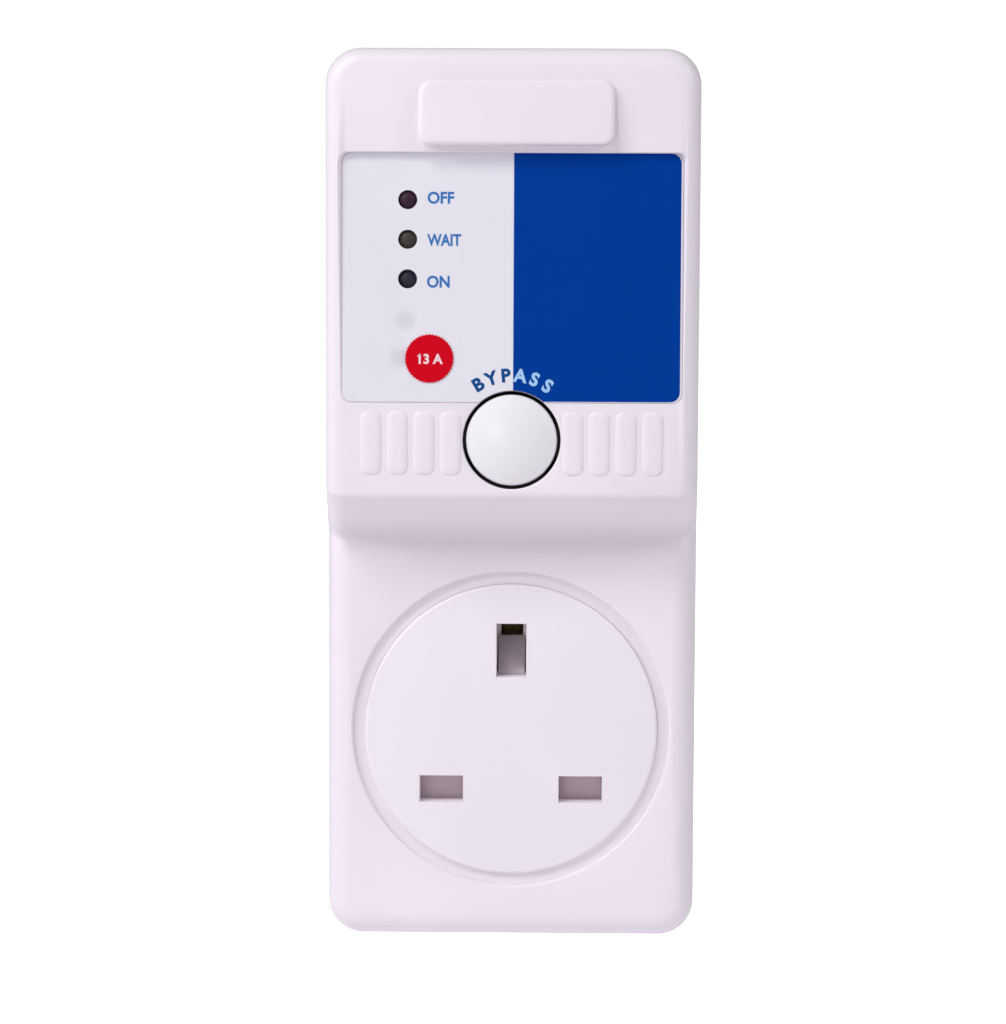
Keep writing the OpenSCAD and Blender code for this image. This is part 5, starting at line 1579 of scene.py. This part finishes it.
@dataclass
class SocketFace:
    """The round insert with the three apertures."""

    finishes: Finishes
    case: Case
    disc_r: float = 23.35 * MM
    rim_r: float = 0.5 * MM
    rim_steps: int = 5
    flange_r: float = FACE_HIGH.x
    back_y: float = -29.3 * MM
    boss_at: Place = (14 * MM, 13.5 * MM)
    boss_r: float = 2.6 * MM
    boss_y: float = FACE_HIGH.y
    boss_bore_r: float = 1.35 * MM
    slot_mouth: float = 0.22 * MM
    mouth_knee: tuple[float, float] = (1 / 3, 1 / 4)
    slots: tuple[Section, ...] = (
        (-11.115 * MM, -9.63 * MM, 6.9 * MM, 4.25 * MM),
        (11.115 * MM, -9.63 * MM, 6.9 * MM, 4.25 * MM),
        (0.0, 12.73 * MM, 4.72 * MM, 8.55 * MM))

    def slot_cutter(self, x: float, z: float, width: float, height: float) -> Shape:
        """Shape the cutter of one aperture, with a mouth that opens outwards."""
        y_face = self.case.form.y_plate
        cutter = Shape.block((x - width / 2, y_face - OVER, z - height / 2),
                             (x + width / 2, self.back_y + OVER, z + height / 2))
        knee_y, knee_spread = (self.slot_mouth * share for share in self.mouth_knee)
        cutter.edit()
        for depth in (self.slot_mouth, knee_y, 0.0):
            cutter.slice((0, y_face + depth, 0), (0, 1, 0))
        for depth, spread in ((knee_y, knee_spread), (0.0, self.slot_mouth)):
            cutter.widen(lambda at: at.y < y_face + depth + HAIR and (
                depth > 0) == (at.y > y_face + HAIR),
                (1 + 2 * spread / width, 1, 1 + 2 * spread / height), (x, 0, z))
        cutter.done()
        return cutter

    def build(self) -> None:
        """Build the insert."""
        form = self.case.form
        rim_r, bosses = self.rim_r, both_sides(*self.boss_at)
        rim = [(self.disc_r - rim_r + rim_r * math.sin(turn),
                form.y_plate + rim_r - rim_r * math.cos(turn)) for turn in quarter(self.rim_steps)]
        inner_y = form.y_plate + form.wall
        face = Shape.lathe([
            (0, form.y_plate), *rim, (self.disc_r, inner_y), (self.flange_r, inner_y),
            (self.flange_r, self.back_y), (0, self.back_y)], 0, 0, Flats.FACE)
        face.combine(Join.ADD, *Shape.rods(bosses, self.boss_r, inner_y + OVER, self.boss_y))
        face.combine(Join.CUT, *[self.slot_cutter(*slot) for slot in self.slots])
        face.combine(Join.CUT, *Shape.rods(
            bosses, self.boss_bore_r, inner_y, self.boss_y + OVER, Flats.BORE))
        face.hand_over("socket_face", self.finishes.get(FACE_PLASTIC), Slot.FACE_WHITE,
                       Body.CASE, "socket_faceplate")


@dataclass
class BypassControl:
    """The domed button, with the lugs that hold it in the case."""

    finishes: Finishes
    case: Case
    radius: float = 7.1 * MM
    crown: float = 1.5 * MM
    side_sink: float = 0.3 * MM
    dome_steps: int = 14
    edge_r: float = 0.45 * MM
    edge_steps: int = 5
    edge_stretch: float = 1.6
    back_y: float = -38.3 * MM
    wall: float = 0.85 * MM
    roof_t: float = 0.5 * MM
    stem_r: float = 2.0 * MM
    stem_y: float = -38.2 * MM
    lug_w: float = 5.0 * MM
    lug_reach: float = 1.3 * MM
    lug_y: tuple[float, float] = (-40.4 * MM, -39.2 * MM)

    def dome(self) -> list[Place]:
        """Give the dome's profile from its middle to where its rounded edge starts."""
        y_side = self.case.form.y_hood + self.side_sink
        rise = self.crown + self.side_sink
        sphere_r = (self.radius ** 2 + rise ** 2) / (2 * rise)
        points = []
        for i in range(self.dome_steps + 1):
            radius = (self.radius - self.edge_r) * i / self.dome_steps
            fall = sphere_r - math.sqrt(sphere_r ** 2 - radius ** 2)
            points.append((radius, y_side - rise + fall))
        return points

    def build(self) -> None:
        """Build the cap: a hollow dome with a stem and two lugs."""
        y_side = self.case.form.y_hood + self.side_sink
        outer = self.dome()
        start = Vector(outer[-1])
        for turn in quarter(self.edge_steps)[1:]:
            outer.append((start.x + self.edge_r * math.sin(turn),
                          start.y + self.edge_r * (1 - math.cos(turn)) * self.edge_stretch))
        inner_r = self.radius - self.wall
        roof = y_side + self.roof_t
        profile = outer + [(self.radius, self.back_y), (inner_r, self.back_y), (inner_r, roof),
                           (self.stem_r, roof), (self.stem_r, self.stem_y), (0, self.stem_y)]
        cap = Shape.lathe(profile, 0, self.case.button_z, Flats.CAP)
        near, far = inner_r + self.wall / 2, self.radius + self.lug_reach
        low_z = self.case.button_z - self.lug_w / 2
        lugs = [Shape.block((low_x, self.lug_y[0], low_z),
                            (high_x, self.lug_y[1], low_z + self.lug_w))
                for low_x, high_x in ((-far, -near), (near, far))]
        cap.combine(Join.ADD, *lugs)
        cap.hand_over("button_cap", self.finishes.get(BUTTON_PLASTIC), Slot.FACE_WHITE,
                      Body.BUTTON, "bypass_button", angle=50)


@dataclass
class Helix:
    """A coil spring, wound from a round wire."""

    centre: Vector
    axis: Axis
    radius: float
    wire_r: float
    turns: int
    length: float
    steps_per_turn: int = 32

    def wind(self) -> Shape:
        """Wind the spring from its centre along its axis."""
        Shape.clear()
        turn = (QUARTER_TURN, 0, 0) if self.axis is Axis.Z else (0, 0, 0)
        bpy.ops.mesh.primitive_circle_add(vertices=Flats.WIRE, radius=self.wire_r,
                                          fill_type="NGON", location=(self.radius, 0, 0),
                                          rotation=turn)
        steps = self.steps_per_turn * self.turns
        wire = Shape(bpy.context.object)
        wire.modify("SCREW", axis=self.axis.value, angle=FULL_TURN * self.turns, steps=steps,
                    render_steps=steps, screw_offset=self.length, use_merge_vertices=False,
                    use_smooth_shade=True)
        wire.edit()
        wire.weld(FINE_WELD)
        wire.done()
        return wire.place(Matrix.Translation(self.centre))


@dataclass
class CoilSprings:
    """The springs of the button and of the shutter."""

    finishes: Finishes
    button_wire_r: float = 0.25 * MM
    button_turns: int = 4
    shutter_wire_r: float = 0.18 * MM
    shutter_turns: int = 6

    def build_button_coil(self) -> None:
        """Wind the spring behind the button."""
        low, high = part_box("button_spring")
        wire_r, middle = self.button_wire_r, (low + high) / 2
        spring = Helix(Vector((middle.x, low.y + wire_r, middle.z)), Axis.Y,
                       (high.x - low.x) / 2 - wire_r, wire_r, self.button_turns,
                       high.y - low.y - 2 * wire_r).wind()
        piece = spring.hand_over("button_coil", self.finishes.get(STEEL), Slot.STEEL, Body.CASE,
                                 "button_spring")
        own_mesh(piece)

    def build_shutter_coil(self) -> None:
        """Wind the spring under the shutter."""
        low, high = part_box("shutter_spring")
        wire_r, middle = self.shutter_wire_r, (low + high) / 2
        spring = Helix(Vector((middle.x, middle.y, low.z + wire_r)), Axis.Z,
                       (high.x - low.x) / 2 - wire_r, wire_r, self.shutter_turns,
                       high.z - low.z - 2 * wire_r).wind()
        piece = spring.hand_over("shutter_coil", self.finishes.get(STEEL), Slot.STEEL, Body.CASE,
                                 "shutter_spring")
        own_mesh(piece)


@dataclass
class PlugPins:
    """The three brass pins and the sleeves of two of them."""

    finishes: Finishes
    live_x: float = 11.115 * MM
    live_z: float = -9.53 * MM
    earth_z: float = 12.70 * MM
    live_w: float = 6.35 * MM
    thickness: float = 3.97 * MM
    earth_h: float = 7.92 * MM
    live_end: float = 17.7 * MM
    earth_end: float = 22.73 * MM
    root_y: float = -9.0 * MM
    collar_y: tuple[float, float] = (-4.5 * MM, -2.5 * MM)
    collar_rim: float = 1.3 * MM
    sleeve_end: float = 9.5 * MM
    sleeve_t: float = 0.7 * MM
    nose: float = 0.9 * MM
    edge_r: float = 0.35 * MM
    edge_segments: int = 3
    collar_segments: int = 2

    def sections(self) -> list[Section]:
        """Give each pin's place and its width and height."""
        return [(-self.live_x, self.live_z, self.live_w, self.thickness),
                (self.live_x, self.live_z, self.live_w, self.thickness),
                (0.0, self.earth_z, self.thickness, self.earth_h)]

    def blade(self, section: Section, end: float, waist: float) -> Shape:
        """Shape one pin with its collar.

        Args:
            section: The pin's place, width and height.
            end: How far its nose stands behind the wall face.
            waist: How much thinner each side is under the sleeve.

        Returns:
            The pin, with its collar as a second solid of the same piece.
        """
        x, z, width, height = section
        stops = [(self.collar_y[1], 0.0), (self.collar_y[1], waist), (self.sleeve_end, waist),
                 (self.sleeve_end, 0.0), (end - self.nose, 0.0), (end, self.nose / 2)]
        blade = Shape.block((x - width / 2, self.root_y, z - height / 2),
                            (x + width / 2, self.collar_y[1], z + height / 2))
        blade.edit()
        blade.pick(Part.FACES, lambda at, to: at.y > self.collar_y[1] - HAIR)
        for (last_y, last_in), (next_y, next_in) in zip(stops, stops[1:]):
            bpy.ops.mesh.extrude_region_move(
                TRANSFORM_OT_translate={"value": (0, next_y - last_y, 0)})
            bpy.ops.transform.resize(
                value=((width - 2 * next_in) / (width - 2 * last_in), 1,
                       (height - 2 * next_in) / (height - 2 * last_in)),
                center_override=(x, next_y, z))
        blade.weld(HAIR)
        blade.done()
        blade.round_edges(lambda a, b: abs(a.y - b.y) > self.nose / 2, self.edge_r,
                          self.edge_segments)
        blade.round_edges(lambda a, b: a.y > end - HAIR and b.y > end - HAIR, self.edge_r,
                          self.edge_segments)
        rim = self.collar_rim
        collar = Shape.block((x - width / 2 - rim, self.collar_y[0], z - height / 2 - rim),
                             (x + width / 2 + rim, self.collar_y[1], z + height / 2 + rim))
        collar.round_edges(lambda a, b: True, self.edge_r, self.collar_segments)
        return blade.gather([collar])

    def sleeve(self, section: Section) -> Shape:
        """Shape one insulating sleeve."""
        x, z, width, height = section
        low, high = (x - width / 2, z - height / 2), (x + width / 2, z + height / 2)
        sleeve = Shape.slab(low, high, self.collar_y[1], self.sleeve_end, self.edge_r,
                            self.edge_segments)
        sleeve.round_edges(lambda a, b: a.y > self.sleeve_end - HAIR
                           and b.y > self.sleeve_end - HAIR, self.edge_r / 3,
                           self.collar_segments)
        wall = self.sleeve_t
        return sleeve.combine(Join.CUT, Shape.block(
            (low[0] + wall, self.collar_y[1] - OVER, low[1] + wall),
            (high[0] - wall, self.sleeve_end + OVER, high[1] - wall)))

    def build(self) -> None:
        """Build the pins and their sleeves."""
        neutral, line, earth = self.sections()
        brass, black = self.finishes.get(BRASS), self.finishes.get(BLACK_PLASTIC)
        for name, section, end, waist in (
                ("line", line, self.live_end, self.sleeve_t),
                ("neutral", neutral, self.live_end, self.sleeve_t),
                ("earth", earth, self.earth_end, 0.0)):
            self.blade(section, end, waist).hand_over(
                f"{name}_blade", brass, Slot.BRASS, Body.CASE, f"{name}_pin")
        for name, section in (("line", line), ("neutral", neutral)):
            self.sleeve(section).hand_over(f"{name}_sleeve", black, Slot.BLACK_PLASTIC,
                                           Body.CASE, f"{name}_pin_sleeve")


@dataclass
class Lamps:
    """The three indicator lamps with their tubes and legs."""

    finishes: Finishes
    case: Case
    tints: tuple[tuple[str, Colour], ...] = (
        ("led_off", (0.032, 0.008, 0.022)), ("led_wait", (0.042, 0.036, 0.028)),
        ("led_on", (0.020, 0.018, 0.036)))

    def build(self) -> None:
        """Dress the lamps, each with its own tint."""
        for (node, tint), (x, z) in zip(self.tints, self.case.lamps):
            lens = Lens(f"lens_{node}", tint, Vector((x, 0, z)))
            dress(self.finishes.get(lens), node)
        dress(self.finishes.get(INNER_PLASTIC), "led_spacers")
        dress(self.finishes.get(STEEL), "led_leads")


@dataclass
class Inside:
    """The pieces inside the case that keep their CAD shape."""

    finishes: Finishes

    def build(self) -> None:
        """Give every inner piece the finish of its stuff."""
        groups = (
            (BOARD, ("circuit_board",)),
            (STEEL, ("pcb_screws", "case_screws", "clamp_screws", "carrier_screws",
                     "relay_yoke", "relay_armature")),
            (BRASS, ("relay_contact_post", "earth_strap", "neutral_strap")),
            (TINNED, ("line_contact", "neutral_contact", "earth_contact")),
            (CORE_IRON, ("transformer_core",)),
            (WINDING, ("transformer_winding",)),
            (RELAY_WINDING, ("relay_coil",)),
            (BLACK_PLASTIC, ("transformer_bobbin", "switch_plunger", "push_switch_body",
                             "chip_socket")),
            (DARK_RESIN, ("controller_chip", "transistors", "timing_capacitor")),
            (RELAY_PLASTIC, ("relay_base", "relay_cover")),
            (SLEEVE_BLUE, ("smoothing_capacitor",)),
            (YELLOW_RESIN, ("film_capacitor",)),
            (BLUE_RESIN, ("varistor",)),
            (INNER_PLASTIC, ("contact_carrier", "carrier_cover", "pin_clamp_plate")),
            (SHUTTER_PLASTIC, ("shutter",)),
            (WIRE_BROWN, ("line_in_wire", "line_out_wire")),
            (WIRE_BLUE, ("neutral_wire",)),
            (RESISTOR_BODY, ("resistors",)),
            (DIODE_BODY, ("diodes",)))
        for finish, nodes in groups:
            dress(self.finishes.get(finish), *nodes)


@dataclass(frozen=True)
class SoftLight:
    """A soft square light, hung round the piece by its turn and rise in degrees."""

    name: str
    turn: float
    rise: float
    reach: float
    size: float
    power: float

    def hang(self, middle: Vector) -> None:
        """Add the light, turned towards the middle."""
        turn, rise = math.radians(self.turn), math.radians(self.rise)
        out = Vector((math.sin(turn) * math.cos(rise), -math.cos(turn) * math.cos(rise),
                      math.sin(rise)))
        data = bpy.data.lights.new(self.name, "AREA")
        data.size = self.size
        data.energy = self.power
        light = bpy.data.objects.new(self.name, data)
        bpy.context.scene.collection.objects.link(light)
        light.location = middle + out * self.reach
        light.rotation_euler = (-out).to_track_quat("-Z", "Y").to_euler()


@dataclass
class Studio:
    """The pale floor, the soft lights and the camera at the photograph's place."""

    finishes: Finishes
    image_px: tuple[int, int] = (1006, 1024)
    focal_px: float = 3150.0
    depth_vanishing_px: tuple[float, float] = (552.0, 220.0)
    roll: float = 0.33
    camera_at: Vector = field(default_factory=lambda: Vector((6.075, -530.451, 81.061)) * MM)
    sensor_mm: float = 36.0
    floor_size: float = 6.0
    floor_gap: float = 0.05 * MM
    seen_floor: Plain = Plain("floor", (0.9, 0.9, 0.9), WHITE, WHITE)
    bounce_floor: Plain = Plain("floor_bounce", (0.45, 0.45, 0.46), (0.46, 0.44, 0.47),
                                (0.27, 0.235, 0.28))
    sky: float = 0.21
    seen_sky: float = 1.05
    middle: Vector = field(default_factory=lambda: Vector((0, -33, 37)) * MM)
    lights: tuple[SoftLight, ...] = (
        SoftLight("key", turn=-60, rise=30, reach=0.9, size=0.26, power=2.85),
        SoftLight("right", turn=60, rise=30, reach=0.9, size=0.45, power=2.0),
        SoftLight("top", turn=-35, rise=52, reach=0.9, size=0.22, power=2.25),
        SoftLight("front", turn=-20, rise=8, reach=0.9, size=0.3, power=0.8),
        SoftLight("left_card", turn=-80, rise=10, reach=0.35, size=0.2, power=0.07))

    def build_camera(self) -> None:
        """Place the camera from the vanishing point of the object's depth."""
        width, height = self.image_px
        centre = (width / 2, height / 2)
        depth = Vector(((self.depth_vanishing_px[0] - centre[0]) / self.focal_px,
                        (centre[1] - self.depth_vanishing_px[1]) / self.focal_px, 1))
        depth.normalize()
        up = Vector((math.sin(math.radians(self.roll)), math.cos(math.radians(self.roll)), 0))
        rise = (up - depth * up.dot(depth)).normalized()
        side = depth.cross(rise)
        if side.x < 0:
            side = -side
        turn = Matrix((side, depth, rise)).transposed()
        right, upward, forward = turn.row
        view = Matrix((right, upward, -forward)).transposed().to_4x4()
        data = bpy.data.cameras.new("camera")
        data.sensor_fit = "AUTO"
        data.sensor_width = self.sensor_mm
        data.lens = self.focal_px / max(self.image_px) * self.sensor_mm
        camera = bpy.data.objects.new("camera", data)
        bpy.context.scene.collection.objects.link(camera)
        camera.matrix_world = Matrix.Translation(self.camera_at) @ view
        bpy.context.scene.camera = camera

    def lay(self, name: str, finish: Plain, drop: float) -> bpy.types.Object:
        """Lay a level surface at a depth under the case's lower side."""
        Shape.clear()
        bpy.ops.mesh.primitive_plane_add(size=self.floor_size,
                                         location=(0, 0, FRONT_LOW.z - drop))
        floor = bpy.context.object
        floor.name = name
        floor.data.materials.append(self.finishes.get(finish))
        return floor

    def build_floor(self) -> None:
        """Lay the white floor that is seen and the dimmer one that lights the piece."""
        seen = self.lay("floor", self.seen_floor, self.floor_gap)
        seen.visible_diffuse = False
        seen.visible_glossy = False
        seen.visible_shadow = False
        under = self.lay("floor_bounce", self.bounce_floor, 2 * self.floor_gap)
        under.visible_camera = False

    def build_lights(self) -> None:
        """Hang the lights and the pale surroundings."""
        for light in self.lights:
            light.hang(self.middle)
        world = bpy.data.worlds.new("surroundings")
        bpy.context.scene.world = world
        graph = Graph(world)
        lit, seen = (graph.signal("ShaderNodeBackground", None, {
            "Color": (*WHITE, 1.0), "Strength": strength})
            for strength in (self.sky, self.seen_sky))
        by_camera = graph.signal("ShaderNodeLightPath", output="Is Camera Ray")
        mix = graph.signal("ShaderNodeMixShader", None, {0: by_camera, 1: lit, 2: seen})
        graph.node("ShaderNodeOutputWorld", None, {"Surface": mix})

    def build(self) -> None:
        """Set up the whole studio."""
        self.build_camera()
        self.build_floor()
        self.build_lights()
        bpy.context.scene.view_settings.view_transform = "Standard"


def main() -> None:
    """Build every piece round the frame, then the studio."""
    finishes = Finishes()
    case = Case(finishes)
    label = Label(finishes, case)
    pins = PlugPins(finishes)
    springs = CoilSprings(finishes)
    case.build_front(label)
    RearShell(finishes, case).build(pins)
    SocketFace(finishes, case).build()
    label.build()
    BypassControl(finishes, case).build()
    springs.build_button_coil()
    springs.build_shutter_coil()
    pins.build()
    Lamps(finishes, case).build()
    Inside(finishes).build()
    Studio(finishes).build()


if __name__ == "__main__":
    main()
